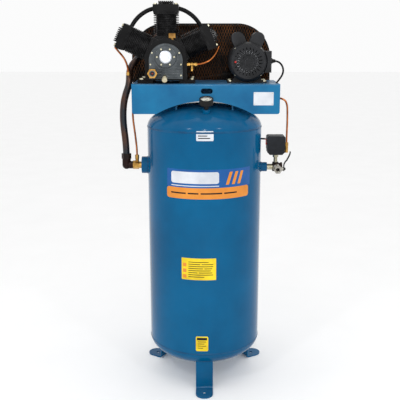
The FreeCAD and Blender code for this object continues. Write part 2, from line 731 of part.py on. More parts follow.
def make_front_cover():
    plate = prism("XZ", [arch("cover_half", "case_base + 6", "cover_arch")], "-case_front", "cover_thick")
    face = "case_front - cover_thick"
    ribs = [box("2 * cover_half - 8", "4", "4", ("crank_x - cover_half + 4", f"{face} - 4", height))
            for height in (1389, 1401, 1413, 1425)]
    pads = [cylinder(radius, "4", (x, f"{face} - 4", z), "Y") for radius, x, z in (SIGHT_PAD, DRAIN_PAD)]
    ring = cylinder("53", "5", ("crank_x", f"{face} - 5", "crank_z"), "Y")
    boss = cylinder("36", "26", ("crank_x", "case_front", "crank_z"), "Y")
    seat = cylinder("30", "60", ("crank_x", f"{face} - 20", "crank_z"), "Y")
    node("front_cover", cut(fuse(plate, ring, boss, *ribs, *pads), seat))
    cap = turned([
        ("0", "case_front - cover_thick - 12"),
        ("43", "case_front - cover_thick - 12"),
        ("46", "case_front - cover_thick - 9"),
        ("46", "case_front - cover_thick - 5"),
        ("29.5", "case_front - cover_thick - 5"),
        ("29.5", "case_front - cover_thick + 10"),
        ("0", "case_front - cover_thick + 10"),
    ], ("crank_x", "0", "crank_z"), "Y")
    rear_carrier = turned([
        ("18.5", "case_back + 6"),
        ("18.5", "case_back + 24"),
        ("30", "case_back + 24"),
        ("34", "case_back + 8"),
        ("54", "case_back + 8"),
        ("54", "case_back"),
        ("40", "case_back"),
        ("40", "case_back - 14"),
        ("36", "case_back - 14"),
        ("36", "case_back + 6"),
    ], ("crank_x", "0", "crank_z"), "Y")
    node("bearing_carriers", group(cap, rear_carrier))
    disc = turned([
        ("0", "case_front - cover_thick - 15"),
        ("22", "case_front - cover_thick - 15"),
        ("26", "case_front - cover_thick - 13.5"),
        ("26", "case_front - cover_thick - 12"),
        ("0", "case_front - cover_thick - 12"),
    ], ("crank_x", "0", "crank_z"), "Y")
    node("end_disc", disc)


def ball_bearing(x, z, bore, outside, front, width):
    """A shielded ball bearing along Y, as one ring with a shallow channel in each face."""
    return turned([
        (bore, front),
        (f"{bore} + 3", front),
        (f"{bore} + 3.5", f"{front} + 0.8"),
        (f"{outside} - 3.5", f"{front} + 0.8"),
        (f"{outside} - 3", front),
        (outside, front),
        (outside, f"{front} + {width}"),
        (bore, f"{front} + {width}"),
    ], (x, "0", z), "Y")


def make_bearings():
    rings = [
        ball_bearing("crank_x", "crank_z", "15 + shaft_fit", "30", "case_front + 10", "14"),
        ball_bearing("crank_x", "crank_z", "17.5 + shaft_fit", "36", "case_back - 12", "16"),
        ball_bearing("motor_x", "motor_z", "motor_shaft + shaft_fit", "20", "motor_front - 16", "12"),
        ball_bearing("motor_x", "motor_z", "motor_shaft + shaft_fit", "20", "motor_back + 8", "12"),
    ]
    node("ball_bearings", group(*rings))


def corner_holes(radius, base, length):
    """The four head bolt holes, in the cylinder's own frame."""
    reach = ("head_bolt_reach", "-head_bolt_reach")
    return [cylinder(radius, length, (x, y, base)) for x in reach for y in reach]


def make_cylinder():
    """A finned barrel in its own frame: turned barrel, one turned fin and its linear pattern."""
    body = doc.addObject("PartDesign::Body", "Barrel")
    barrel_sketch = new_sketch(body, "XZ", [[
        ("bore_radius", "deck_base - 7"),
        ("barrel_radius + 0.5", "deck_base - 7"),
        ("barrel_radius + 0.5", "deck_base"),
        ("barrel_radius", "deck_base + 1"),
        ("barrel_radius", "deck_top"),
        ("bore_radius", "deck_top"),
    ]])
    barrel = body.newObject("PartDesign::Revolution", "BarrelRevolution")
    barrel.Profile = barrel_sketch
    barrel.ReferenceAxis = (barrel_sketch, ["V_Axis"])
    barrel.Angle = 360
    fin_sketch = new_sketch(body, "XZ", [[
        ("barrel_radius - 1", "deck_base + 13"),
        ("fin_radius", "deck_base + 13"),
        ("fin_radius", "deck_base + 13 + fin_thick"),
        ("barrel_radius - 1", "deck_base + 13 + fin_thick"),
    ]])
    fin = body.newObject("PartDesign::Revolution", "FinRevolution")
    fin.Profile = fin_sketch
    fin.ReferenceAxis = (fin_sketch, ["V_Axis"])
    fin.Angle = 360
    doc.recompute()
    fins = body.newObject("PartDesign::LinearPattern", "Fins")
    fins.Originals = [fin]
    fins.Direction = (fin_sketch, ["V_Axis"])
    fins.setExpression("Length", bind("fin_pitch * (fin_count - 1)"))
    fins.setExpression("Occurrences", bind("fin_count"))
    body.Tip = fins
    base = block("98", "98", "8", ("0", "0", "deck_base"))
    deck = block("102", "102", "7", ("0", "0", "deck_top - 7"))
    bore = cylinder("bore_radius", "150", ("0", "0", "deck_base - 20"))
    return cut(fuse(body, base, deck), bore, *corner_holes("4.3", "deck_top - 20", "30"))


def make_valve_plate():
    plate = block("2 * head_half - 2", "2 * head_half - 2", "head_base - deck_top", ("0", "0", "deck_top"))
    ports = [cylinder("7", "30", (x, "0", "deck_top - 10")) for x in ("-18", "18")]
    return cut(plate, *ports, *corner_holes("4.3", "deck_top - 10", "30"))


def make_head():
    shell = block("2 * head_half", "2 * head_half", "head_roof - head_base", ("0", "0", "head_base"))
    ribs = [block("4", "2 * head_half - 6", "head_crest - head_roof + 2", (x, "0", "head_roof - 2"))
            for x in range(-28, 29, 8)]
    chambers = [block("34", "66", "20", (x, "0", "head_base - 2")) for x in ("-20", "20")]
    return cut(fuse(shell, *ribs), *chambers, *corner_holes("4.3", "head_base - 10", "60"))


def head_space(name):
    """The room that a bank's head takes, for trimming the pipes that meet it."""
    space = block("2 * head_half", "2 * head_half", "60", ("0", "0", "head_base - 10"))
    return onto_bank(space, *BANKS[name])


def make_head_bolts():
    reach = ("head_bolt_reach", "-head_bolt_reach")
    grip = "head_roof - deck_top + 6"
    return [bolt((x, y, "head_roof"), "Z", "4", "13", grip) for x in reach for y in reach]


def make_piston():
    """A hollow piston with two stub pins, its crown at top dead centre."""
    crown = "(throw + rod_length + crown_height)"
    skirt = "(throw + rod_length - 18)"
    outside = "(bore_radius - piston_gap)"
    inside = "(bore_radius - piston_gap - 4)"
    pin_start = "rod_half + 2.5"
    ring_lands = []
    for drop in ("6", "12", "18"):
        ring_lands += [
            (outside, f"{crown} - {drop}"),
            (f"{outside} - 1.2", f"{crown} - {drop}"),
            (f"{outside} - 1.2", f"{crown} - {drop} - 2.4"),
            (outside, f"{crown} - {drop} - 2.4"),
        ]
    shell = turned([
        ("0", crown),
        (outside, crown),
        *ring_lands,
        (outside, skirt),
        (inside, skirt),
        (inside, f"{crown} - 7"),
        ("0", f"{crown} - 7"),
    ])
    pin_height = "throw + rod_length"
    stub = f"{inside} - ({pin_start})"
    stubs = [cylinder("7", stub, ("0", start, pin_height), "Y") for start in (minus(inside), pin_start)]
    return fuse(shell, *stubs)


def make_rod():
    """A connecting rod from the crankpin's axis, along its bank."""
    big_end = cylinder("23", "2 * rod_half", ("0", "-rod_half", "0"), "Y")
    small_end = cylinder("12", "2 * rod_half", ("0", "-rod_half", "rod_length"), "Y")
    shank = block("15", "2 * rod_half - 3", "rod_length", ("0", "0", "0"))
    eye = cylinder("pin_radius + shaft_fit", "40", ("0", "-20", "0"), "Y")
    small_eye = cylinder("7.2", "40", ("0", "-20", "rod_length"), "Y")
    return cut(fuse(big_end, small_end, shank), eye, small_eye)


def make_crankshaft():
    """Two journals and two counterweighted webs about one crankpin, with a long nose for the flywheel."""
    web_front = "bank_mid - 24"
    web_back = "bank_mid + 24"
    pin = cylinder("pin_radius", "48", ("crank_x", web_front, "crank_z + throw"), "Y")
    front_journal = cylinder("15", "38", ("crank_x", "case_front + 8", "crank_z"), "Y")
    rear_journal = cylinder("17.5", "case_back + 26 - bank_mid - 32",
                            ("crank_x", "bank_mid + 32", "crank_z"), "Y")
    nose = cylinder("14", "rim_front + rim_width - case_back - 24",
                    ("crank_x", "case_back + 26", "crank_z"), "Y")
    webs = []
    for start in (f"{web_front} - 8", web_back):
        disc = cylinder("42", "8", ("crank_x", start, "crank_z"), "Y")
        waist = [box("30", "20", "60", (f"crank_x {side}", f"{start} - 6", "crank_z + 4"))
                 for side in ("- 50", "+ 20")]
        webs.append(cut(disc, *waist))
    node("crankshaft", fuse(pin, front_journal, rear_journal, nose, *webs))


def make_pump():
    make_crankcase()
    make_front_cover()
    cylinders, heads, plates, rods, bolts = [], [], [], [], []
    for name, (side, depth) in BANKS.items():
        cylinders.append(onto_bank(make_cylinder(), side, depth))
        heads.append(onto_bank(make_head(), side, depth))
        plates.append(onto_bank(make_valve_plate(), side, depth))
        rods.append(onto_bank(make_rod(), side, depth, ("crank_x", "crank_z + throw")))
        bolts.append(onto_bank(group(*make_head_bolts()), side, depth))
        travel_lost = "throw * (1 - cos(bank_angle * 1 deg))" if side else "0"
        piston = carry(make_piston(), ("0", "0", minus(travel_lost)))
        node(f"{name}_piston", onto_bank(piston, side, depth))
    node("cylinders", group(*cylinders))
    node("cylinder_heads", group(*heads))
    node("valve_plates", group(*plates))
    node("connecting_rods", group(*rods))
    make_crankshaft()
    wheel = grooved_wheel("wheel_radius", "wheel_radius - 16", "27", "14", "rim_front - 28",
                          "rim_front + rim_width + 2", ("crank_x", "0", "crank_z"))
    windows = [cylinder("25", "60", (x, "rim_front - 10", z), "Y") for x, z in round_crank(6, "72", 30)]
    node("flywheel", cut(wheel, *windows))
    end = "rim_front + rim_width + 2"
    washer = cylinder("20", "3", ("crank_x", end, "crank_z"), "Y")
    node("flywheel_bolt", fuse(washer, hexagon("19", "9", ("crank_x", f"{end} + 3", "crank_z"), "Y")))
    return bolts


def make_pump_fasteners(head_bolts):
    face = "case_front - cover_thick"
    spots = [("crank_x + 64", "1397"), ("crank_x - 64", "1442"), ("crank_x + 64", "1442"),
             ("crank_x - 57", "cover_arch + 32"), ("crank_x + 57", "cover_arch + 32")]
    cover_bolts = [hexagon("6.5", "4", (x, f"{face} - 4", z), "Y") for x, z in spots]
    cap_bolts = [hexagon("7", "3", (x, f"{face} - 15", z), "Y") for x, z in round_crank(6, "36", 0)]
    foot_bolts = [bolt((x, y, "plate_top + 16"), "Z", "5", "17", "30") for x, y in PUMP_BOLTS]
    motor_bolts = [bolt((x, y, "plate_top + 5"), "Z", "5", "16", "20") for x, y in MOTOR_BOLTS]
    guard_bolts = [bolt((x, "guard_front - plate_thick", GUARD_BOLT_HEIGHT), "Y", "4", "13", "12", True)
                   for x in GUARD_BOLTS]
    node("fasteners", group(*head_bolts, *cover_bolts, *cap_bolts, *foot_bolts, *motor_bolts, *guard_bolts))


def make_pump_fittings():
    face = "case_front - cover_thick"
    _, glass_x, glass_z = SIGHT_PAD
    node("sight_glass", cut(hexagon("37", "16", (glass_x, f"{face} - 20", glass_z), "Y"),
                            cylinder("13", "11", (glass_x, f"{face} - 21", glass_z), "Y")))
    _, drain_x, drain_z = DRAIN_PAD
    nipple = fuse(cylinder("7.5", "38"), cylinder("11", "15", ("0", "0", "26")))
    drain = place(nipple, (drain_x, f"{face} + 4", f"{drain_z} + 3"), Rotation(Vector(1, 0, 0), 90 + 24))
    behind_face = box("60", "40", "60", (f"{drain_x} - 30", f"{face} - 4", f"{drain_z} - 30"))
    breather = fuse(cylinder("7", "14", ("-135", "case_front + 14", "case_arch + case_half - 8")),
                    block("28", "20", "19", ("-135", "case_front + 14", "1550")))
    round_top = prism("XZ", [arch("case_half", "case_base", "case_arch")], "-case_back",
                      "case_back - case_front")
    node("oil_fittings", group(cut(drain, behind_face), cut(breather, round_top)))

    filters = []
    for name in ("left", "right"):
        side, depth = BANKS[name]
        can = turned([
            ("0", "head_half"),
            ("13", "head_half"),
            ("13", "head_half + 10"),
            ("30", "head_half + 10"),
            ("34", "head_half + 15"),
            ("34", "head_half + 48"),
            ("30", "head_half + 54"),
            ("0", "head_half + 54"),
        ], ("0", "0", "head_base + 16"), "Y")
        filters.append(onto_bank(can, side, depth))
    node("intake_filters", group(*filters))

    left_pipe = tube("crossover_left", "9", [
        ("crank_x - head_half", "bank_mid", "1672"),
        ("-241", "bank_mid - 3", "1664"),
        ("-272", "bank_mid - 7", "1645"),
        ("-296", "bank_mid - 11", "1620"),
        ("-313", "bank_mid - 15", "1592"),
        ("-325", "bank_mid - 15", "1576"),
    ])
    right_pipe = tube("crossover_right", "9", [
        ("crank_x + head_half", "bank_mid", "1672"),
        ("-83", "bank_mid + 3", "1664"),
        ("-52", "bank_mid + 7", "1645"),
        ("-28", "bank_mid + 11", "1620"),
        ("-11", "bank_mid + 15", "1592"),
        ("1", "bank_mid + 15", "1576"),
    ])
    pipes = []
    for pipe, name in ((left_pipe, "left"), (right_pipe, "right")):
        pipes.append(cut(pipe, head_space("centre"), head_space(name)))
    node("crossover_pipes", group(*pipes))


# ---------------------------------------------------------------- motor


def end_bell(sign, shaft_hole):
    """An end bell along Y: sign is -1 for the front and 1 for the belt end."""
    seat = "motor_front" if sign < 0 else "motor_back"
    out = "-" if sign < 0 else "+"
    step = [
        ("motor_radius", seat),
        ("motor_radius", f"{seat} {out} 8"),
        ("bell_radius + 3", f"{seat} {out} (bell_depth - 5)"),
        ("bell_radius - 3", f"{seat} {out} bell_depth"),
        ("28", f"{seat} {out} bell_depth"),
        ("26", f"{seat} {out} (bell_depth - 3)"),
        ("14", f"{seat} {out} (bell_depth - 3)"),
        ("13", f"{seat} {out} (bell_depth + 1)"),
        (shaft_hole, f"{seat} {out} (bell_depth + 1)"),
        (shaft_hole, f"{seat} {out} (bell_depth - 8)"),
        ("20", f"{seat} {out} (bell_depth - 8)"),
        ("20", f"{seat} {out} 4"),
        ("25", f"{seat} {out} 4"),
        ("27", f"{seat} {out} (bell_depth - 8)"),
        ("bell_radius - 6", f"{seat} {out} (bell_depth - 6)"),
        ("motor_radius - 7", f"{seat} {out} 8"),
        ("motor_radius - 7", seat),
    ]
    bell = turned(step, ("motor_x", "0", "motor_z"), "Y")
    slots = []
    start = f"{seat} - bell_depth - 10" if sign < 0 else f"{seat} + 10"
    for i in range(int(value("vent_count"))):
        angle = 360 / value("vent_count") * (i + 0.5)
        slot = box("24", "bell_depth", "3.6", ("36", start, "-1.8"))
        slots.append(carry(slot, ("motor_x", "0", "motor_z"), Rotation(Vector(0, 1, 0), angle)))
    return cut(bell, *slots)


def make_motor():
    tube_shell = turned([
        ("motor_radius - 5", "motor_front"),
        ("motor_radius", "motor_front"),
        ("motor_radius", "motor_back"),
        ("motor_radius - 5", "motor_back"),
        ("motor_radius - 5", "55"),
        ("rotor_radius + 0.6", "55"),
        ("rotor_radius + 0.6", "-55"),
        ("motor_radius - 5", "-55"),
    ], ("motor_x", "0", "motor_z"), "Y")
    node("motor_shell", tube_shell)
    button_hole = cylinder("4.7", "60", ("button_x", "motor_front - 40", "motor_z"), "Y")
    collar = cylinder("8", "5", ("button_x", "motor_front - bell_depth - 3", "motor_z"), "Y")
    backing = cylinder("8", "6", ("button_x", "motor_front - bell_depth", "motor_z"), "Y")
    front_bell = cut(fuse(end_bell(-1, "0"), collar, backing), button_hole)
    node("motor_end_bells", group(front_bell, end_bell(1, "motor_shaft + 0.6")))
    core = turned([
        ("0", "motor_front - 17"),
        ("motor_shaft", "motor_front - 17"),
        ("motor_shaft", "-50"),
        ("rotor_radius", "-50"),
        ("rotor_radius", "50"),
        ("22", "50"),
        ("22", "62"),
        ("60", "66"),
        ("60", "70"),
        ("22", "68"),
        ("motor_shaft", "72"),
        ("motor_shaft", "rim_front + rim_width - 1"),
        ("0", "rim_front + rim_width - 1"),
    ], ("motor_x", "0", "motor_z"), "Y")
    blades = []
    for i in range(8):
        blade = box("46", "10", "2", ("12", "66", "-1"))
        blades.append(carry(blade, ("motor_x", "0", "motor_z"), Rotation(Vector(0, 1, 0), 45 * i)))
    node("motor_rotor", fuse(core, *blades))
    node("motor_pulley", grooved_wheel("pulley_radius", "pulley_radius - 14", "20", "motor_shaft",
                                       "rim_front + 6", "rim_front + rim_width", ("motor_x", "0", "motor_z")))

    button = turned([
        ("0", "motor_front - bell_depth - 8"),
        ("3.4", "motor_front - bell_depth - 8"),
        ("4.4", "motor_front - bell_depth - 7"),
        ("4.4", "motor_front - bell_depth + 8"),
        ("0", "motor_front - bell_depth + 8"),
    ], ("button_x", "0", "motor_z"), "Y")
    node("reset_button", button)

    covers = []
    for side in (-1, 1):
        can = fuse(cylinder("cap_radius", "106", ("0", "-90", "cap_reach"), "Y"),
                   block("2 * cap_radius", "106", "cap_reach - 60", ("0", "-37", "60")))
        leaned = lean(can, Vector(0, side, 0), "cap_lean", ("motor_x", "0", "motor_z"))
        covers.append(cut(leaned, cylinder("motor_radius", "400", ("motor_x", "-200", "motor_z"), "Y")))
    node("capacitor_covers", group(*covers))

    cradle = prism("XZ", [[
        ("motor_x - 86", "plate_top"),
        ("motor_x + 86", "plate_top"),
        ("motor_x + 86", "plate_top + 5"),
        ("motor_x + 64", "plate_top + 5"),
        ("motor_x + 52", "plate_top + 36"),
        ("motor_x - 52", "plate_top + 36"),
        ("motor_x - 64", "plate_top + 5"),
        ("motor_x - 86", "plate_top + 5"),
    ]], "-62", "124")
    node("motor_base", cut(cradle, cylinder("motor_radius", "400", ("motor_x", "-200", "motor_z"), "Y"),
                           *[cylinder("5.5", "40", (x, y, "plate_top - 10")) for x, y in MOTOR_BOLTS]))

    drum = cylinder("motor_radius", "400", ("motor_x", "-200", "motor_z"), "Y")
    housing = cut(box("52", "90", "88", ("229", "-108", "1408")), drum,
                  box("30", "84", "82", ("246", "-105", "1411")))
    lid = cut(box("3", "92", "90", ("280.5", "-109", "1407")),
              cylinder("6", "20", ("270", "-80", "1455"), "X"))
    node("terminal_box", group(cut(housing, box("10", "200", "200", ("280.5", "-150", "1350"))), lid))


# ---------------------------------------------------------------- pipes and fittings

ELBOW_X = "-352"
PORT_X = "tee_x - 4"
SWITCH_STEM_X = "tee_x - 8"
LEAD_ENTRY = ("300", "1098")
SUPPLY_ENTRY = ("320", "1053")
LEAD_ROUTE = [
    ("289", "-80", "1455"),
    ("305", "-80", "1455"),
    ("320", "-80", "1449"),
    ("331", "-80", "1437"),
    ("337", "-80", "1421"),
    ("336", "-80", "1404"),
    ("329", "-80", "1389"),
    ("318", "-80", "1374"),
    ("307", "-80", "1360"),
    ("297", "-75", "1342"),
    ("286", "-58", "1324"),
    ("272", "-26", "1306"),
    ("258", "18", "1288"),
    ("243", "66", "1266"),
    ("229", "110", "1236"),
    ("220", "138", "1198"),
    ("217", "148", "1160"),
    ("221", "142", "1126"),
    ("232", "126", "1106"),
    ("247", "111", "1097"),
    ("264", "101", "1096"),
    ("280", "91", "1097"),
    ("292", "77", "1098"),
    ("299", "60", "1098"),
    ("300", "44", "1098"),
]
GAUGE_HEIGHT = "top_rise * sqrt(1 - (gauge_y^2 + gauge_x^2) / tank_radius^2)"
GAUGE_FOOT = ("gauge_x", "gauge_y", f"shell_top + {GAUGE_HEIGHT}")


def make_gauge():
    """A dial gauge on a stub at the front of the upper head, standing along the head's normal."""
    case = turned([
        ("0", "34"),
        ("22", "34"),
        ("28", "37", "6", 1),
        ("gauge_radius", "42"),
        ("gauge_radius", "61", "2", 1),
        ("gauge_radius - 2", "63"),
        ("gauge_radius - 5", "63"),
        ("gauge_radius - 5", "60.6"),
        ("gauge_radius - 3.2", "60.6"),
        ("gauge_radius - 3.2", "38"),
        ("0", "38"),
    ])
    stem = fuse(hexagon("19", "18", ("0", "0", "16")), cylinder("7.8", "32", ("0", "0", "2")))
    parts = {
        "gauge_case": case,
        "gauge_dial": fuse(cylinder("26", "1", ("0", "0", "54")), cylinder("4", "16", ("0", "0", "38"))),
        "gauge_lens": cylinder("26", "2", ("0", "0", "58.4")),
        "gauge_needle": fuse(cylinder("3", "1.2", ("0", "0", "55.6")),
                             primitive("Wedge", {}, HERE)),
    }
    wedge = parts["gauge_needle"].Shapes[1]
    for name, number in (("Xmin", -1.4), ("Xmax", 1.4), ("X2min", -0.3), ("X2max", 0.3), ("Ymin", -7),
                         ("Ymax", 20), ("Zmin", 55.8), ("Zmax", 56.6), ("Z2min", 55.8), ("Z2max", 56.6)):
        setattr(wedge, name, number)
    parts["gauge_needle"] = carry(parts["gauge_needle"], HERE, Rotation(Vector(0, 0, 1), 135))
    for name, obj in parts.items():
        node(name, lean(obj, Vector(1, 0, 0), "gauge_tilt", GAUGE_FOOT))
    return lean(stem, Vector(1, 0, 0), "gauge_tilt", GAUGE_FOOT)


def make_discharge():
    """Discharge tube from the upright head's rear port, round the left side, down to the check valve."""
    points = [
        ("crank_x", "bank_mid + head_half", "1688"),
        ("crank_x", "44", "1688"),
        ("crank_x - 2", "72", "1678"),
        ("crank_x - 8", "92", "1650"),
        ("crank_x - 20", "100", "1608"),
        ("crank_x - 42", "100", "1562"),
        ("crank_x - 74", "98", "1520"),
        ("crank_x - 112", "92", "1484"),
        ("crank_x - 144", "74", "1454"),
        ("crank_x - 162", "46", "1430"),
        ("crank_x - 169", "18", "1404"),
        ("crank_x - 168", "2", "1372"),
        ("-334", "0", "1345"),
        ("-346", "0", "1314"),
        ("-356", "0", "1278"),
        ("-361", "0", "1238"),
        ("-362", "0", "1196"),
        ("-359", "0", "1150"),
        ("-354", "0", "1104"),
        (ELBOW_X, "0", "1062"),
        (ELBOW_X, "0", "1029"),
    ]
    node("discharge_pipe", tube("discharge_pipe", "discharge_radius", points))
    corner = (ELBOW_X, "0", "inlet_height")
    elbow = fuse(
        cylinder("19", "34", (ELBOW_X, "0", "inlet_height")),
        cylinder("17", "30", (ELBOW_X, "0", "inlet_height"), "X"),
        ball("19.5", corner),
        hexagon("38", "24", (ELBOW_X, "0", "inlet_height + 28")),
    )
    bores = [cylinder("11", "60", (ELBOW_X, "0", "inlet_height"), "X"),
             cylinder("discharge_radius", "40", (ELBOW_X, "0", "inlet_height + 36")),
             cylinder("11", "60", (ELBOW_X, "0", "inlet_height"))]
    node("discharge_elbow", cut(elbow, *bores, box("40", "60", "90", ("-322", "-30", "inlet_height - 45"))))
    valve = fuse(
        hexagon("34", "26", ("-322", "0", "inlet_height"), "X"),
        cylinder("15", "15", ("-297", "0", "inlet_height"), "X"),
        cylinder("port_radius - 0.1", "24", ("-bung_face", "0", "inlet_height"), "X"),
        hexagon("14", "14", ("-304", "0", "inlet_height + 14")),
    )
    passage = cylinder("9", "100", ("-340", "0", "inlet_height"), "X")
    node("check_valve", cut(valve, passage))
    disc = turned([
        ("0", "-312"),
        ("8.4", "-312"),
        ("8.4", "-308"),
        ("3", "-306"),
        ("3", "-296"),
        ("0", "-296"),
    ], ("0", "0", "inlet_height"), "X")
    node("check_valve_disc", disc)


def make_copper(gauge_stem):
    unloader = tube("unloader_tube", "copper_radius", [
        ("-304", "0", "inlet_height + 32"),
        ("-304", "2", "1062"),
        ("-308", "4", "1104"),
        ("-313", "5", "1150"),
        ("-319", "7", "1195"),
        ("-320", "10", "1240"),
        ("-314", "26", "1276"),
        ("-296", "56", "1304"),
        ("-264", "92", "1322"),
        ("-220", "122", "1331"),
        ("-170", "134", "1335"),
        ("-118", "136", "1336"),
        ("-62", "137", "1337"),
        ("-4", "138", "1336"),
        ("56", "138", "1337"),
        ("114", "136", "1336"),
        ("170", "132", "1333"),
        ("220", "118", "1326"),
        ("262", "90", "1314"),
        ("296", "54", "1301"),
        ("320", "20", "1292"),
        ("343", "3", "1289"),
        ("360", "0", "1280"),
        ("368", "0", "1258"),
        ("369.5", "0", "1222"),
        ("370", "0", "1176"),
        ("369", "0", "1130"),
        ("369", "0", "1092"),
    ])
    pilot = tube("pilot_tube", "copper_radius", [
        ("-331", "-30", "1400"),
        ("-332", "-31", "1424"),
        ("-338", "-36", "1448"),
        ("-349", "-45", "1471"),
        ("-366", "-54", "1492"),
        ("-382", "-56", "1512"),
    ])
    head_line = tube("head_line", "copper_radius", [
        ("-38", "-100", "1441"),
        ("-19", "-100", "1442"),
        ("4", "-96", "1448"),
        ("26", "-87", "1459"),
        ("43", "-73", "1476"),
        ("55", "-60", "1498"),
        ("62", "-52", "1516"),
    ])
    node("copper_tubes", group(unloader, cut(pilot, head_space("left")), cut(head_line, head_space("right"))))

    nuts = [
        cut(hexagon("16", "18", ("-304", "0", "inlet_height + 28")),
            cylinder("copper_radius", "30", ("-304", "0", "inlet_height + 20"))),
        cut(hexagon("15", "16", ("369", "0", "1078")), cylinder("copper_radius", "30", ("369", "0", "1090"))),
    ]
    unloader_valve = fuse(cylinder("8", "30", ("369", "0", "1048")),
                          cylinder("5", "369 - switch_right", ("switch_right", "0", "1056"), "X"))
    tee = fuse(
        hexagon("16", "12", ("crank_x + case_half", "-100", "1441"), "X"),
        cylinder("7", "30", ("crank_x + case_half + 6", "-100", "1441"), "X"),
        cylinder("7", "20", ("-53", "-100", "1421")),
        hexagon("12", "9", ("-53", "-100", "1414")),
        ball("9", ("-53", "-100", "1441")),
    )
    tee_nut = hexagon("16", "12", ("-42", "-100", "1441"), "X")
    tee_solid = cut(fuse(tee, tee_nut), cylinder("copper_radius", "40", ("-38", "-100", "1441"), "X"))
    pilot_nut = cut(hexagon("15", "14", ("-331", "-30", "1392")),
                    cylinder("copper_radius", "30", ("-331", "-30", "1400")))
    node("brass_fittings", group(*nuts, unloader_valve, tee_solid, pilot_nut, gauge_stem))


def make_outlet():
    """Outlet nipple, cross, ball valve, safety valve and pressure switch on the right-hand bung."""
    nipples = [
        cut(cylinder("pipe_radius - 0.1", "tee_x - 20 - tank_radius + 8",
                     ("tank_radius - 8", "0", "outlet_height"), "X"),
            cylinder("9", "200", ("tank_radius - 30", "0", "outlet_height"), "X")),
        cut(fuse(cylinder("8.5", "30", (SWITCH_STEM_X, "0", "outlet_height + 18")),
                 hexagon("22", "14", (SWITCH_STEM_X, "0", "switch_base - 14"))),
            cylinder("5", "100", (SWITCH_STEM_X, "0", "outlet_height"))),
    ]
    node("pipe_nipples", group(*nipples))
    cross = fuse(
        cylinder("18", "42", ("tee_x - 21", "0", "outlet_height"), "X"),
        cylinder("18", "38", (PORT_X, "-20", "outlet_height"), "Y"),
        cylinder("14", "22", (SWITCH_STEM_X, "0", "outlet_height")),
        cylinder("20.5", "7", ("tee_x - 21", "0", "outlet_height"), "X"),
        cylinder("20.5", "7", ("tee_x + 15", "0", "outlet_height"), "X"),
    )
    cross_bores = [
        cylinder("pipe_radius", "19", ("tee_x - 38", "0", "outlet_height"), "X"),
        cylinder("10", "34", ("tee_x - 20", "0", "outlet_height"), "X"),
        cylinder("10", "60", (PORT_X, "-30", "outlet_height"), "Y"),
        cylinder("8.5", "30", (SWITCH_STEM_X, "0", "outlet_height + 18")),
        cylinder("6", "30", (SWITCH_STEM_X, "0", "outlet_height")),
    ]
    node("manifold_cross", cut(cross, *cross_bores))

    body = fuse(
        hexagon("30", "14", (PORT_X, "-35", "outlet_height"), "Y"),
        cylinder("17", "40", (PORT_X, "-70", "outlet_height"), "Y"),
        hexagon("32", "16", (PORT_X, "-84", "outlet_height"), "Y"),
        cylinder("9", "26", (PORT_X, "-54", "outlet_height"), "X"),
        cylinder("9.8", "20", (PORT_X, "-26", "outlet_height"), "Y"),
    )
    ball_seat = primitive("Sphere", {"Radius": "13"}, (PORT_X, "-54", "outlet_height"),
                          Rotation(Vector(0, 0, 1), 135))
    body_bores = [cylinder("9.3", "22", (PORT_X, "-90", "outlet_height"), "Y"), ball_seat,
                  cylinder("8", "100", (PORT_X, "-90", "outlet_height"), "Y"),
                  cylinder("4.55", "40", (PORT_X, "-54", "outlet_height"), "X"),
                  cylinder("7", "40", (PORT_X, "-40", "outlet_height"), "Y")]
    node("ball_valve_body", cut(body, *body_bores))
    stem = cylinder("4.5", "36", (PORT_X, "-54", "outlet_height"), "X")
    bored_ball = cut(ball("12.6", (PORT_X, "-54", "outlet_height")),
                     cylinder("8", "60", (PORT_X, "-54", "outlet_height - 30")))
    stemmed_ball = fuse(bored_ball, cut(stem, cylinder("11", "40", (PORT_X, "-54", "outlet_height - 20"))))
    grip = prism("XZ", [[
        ("tee_x + 23", "outlet_height - 9"),
        ("tee_x + 26", "outlet_height - 9"),
        ("tee_x + 26", "outlet_height + 16", "30", -1),
        ("tee_x + 38", "outlet_height + 38"),
        ("tee_x + 49", "outlet_height + 60", "60", 1),
        ("tee_x + 53", "outlet_height + 78"),
        ("tee_x + 50", "outlet_height + 78", "57", -1),
        ("tee_x + 46", "outlet_height + 61"),
        ("tee_x + 35", "outlet_height + 39", "33", 1),
        ("tee_x + 23", "outlet_height + 16"),
    ]], "44", "20")
    lever = cut(grip, cylinder("4.5", "40", ("tee_x + 10", "-54", "outlet_height"), "X"))
    lever_nut = cut(hexagon("11", "5", ("tee_x + 26", "-54", "outlet_height"), "X"),
                    cylinder("4.5", "40", ("tee_x + 10", "-54", "outlet_height"), "X"))
    node("ball_valve_lever", group(stemmed_ball, lever, lever_nut))

    relief = fuse(
        cylinder("9.9", "12", (PORT_X, "10", "outlet_height"), "Y"),
        hexagon("22", "10", (PORT_X, "22", "outlet_height"), "Y"),
        cylinder("9", "26", (PORT_X, "30", "outlet_height"), "Y"),
    )
    node("safety_valve", cut(relief, cylinder("2.1", "60", (PORT_X, "40", "outlet_height"), "Y"),
                             cylinder("4", "32", (PORT_X, "8", "outlet_height"), "Y")))
    ring = primitive("Torus", {"Radius1": "11", "Radius2": "1.4"}, (PORT_X, "74", "outlet_height"),
                     Rotation(Vector(0, 1, 0), 90))
    node("safety_valve_ring", fuse(ring, cylinder("2", "26", (PORT_X, "43", "outlet_height"), "Y"),
                                   cylinder("4", "4", (PORT_X, "59", "outlet_height"), "Y")))


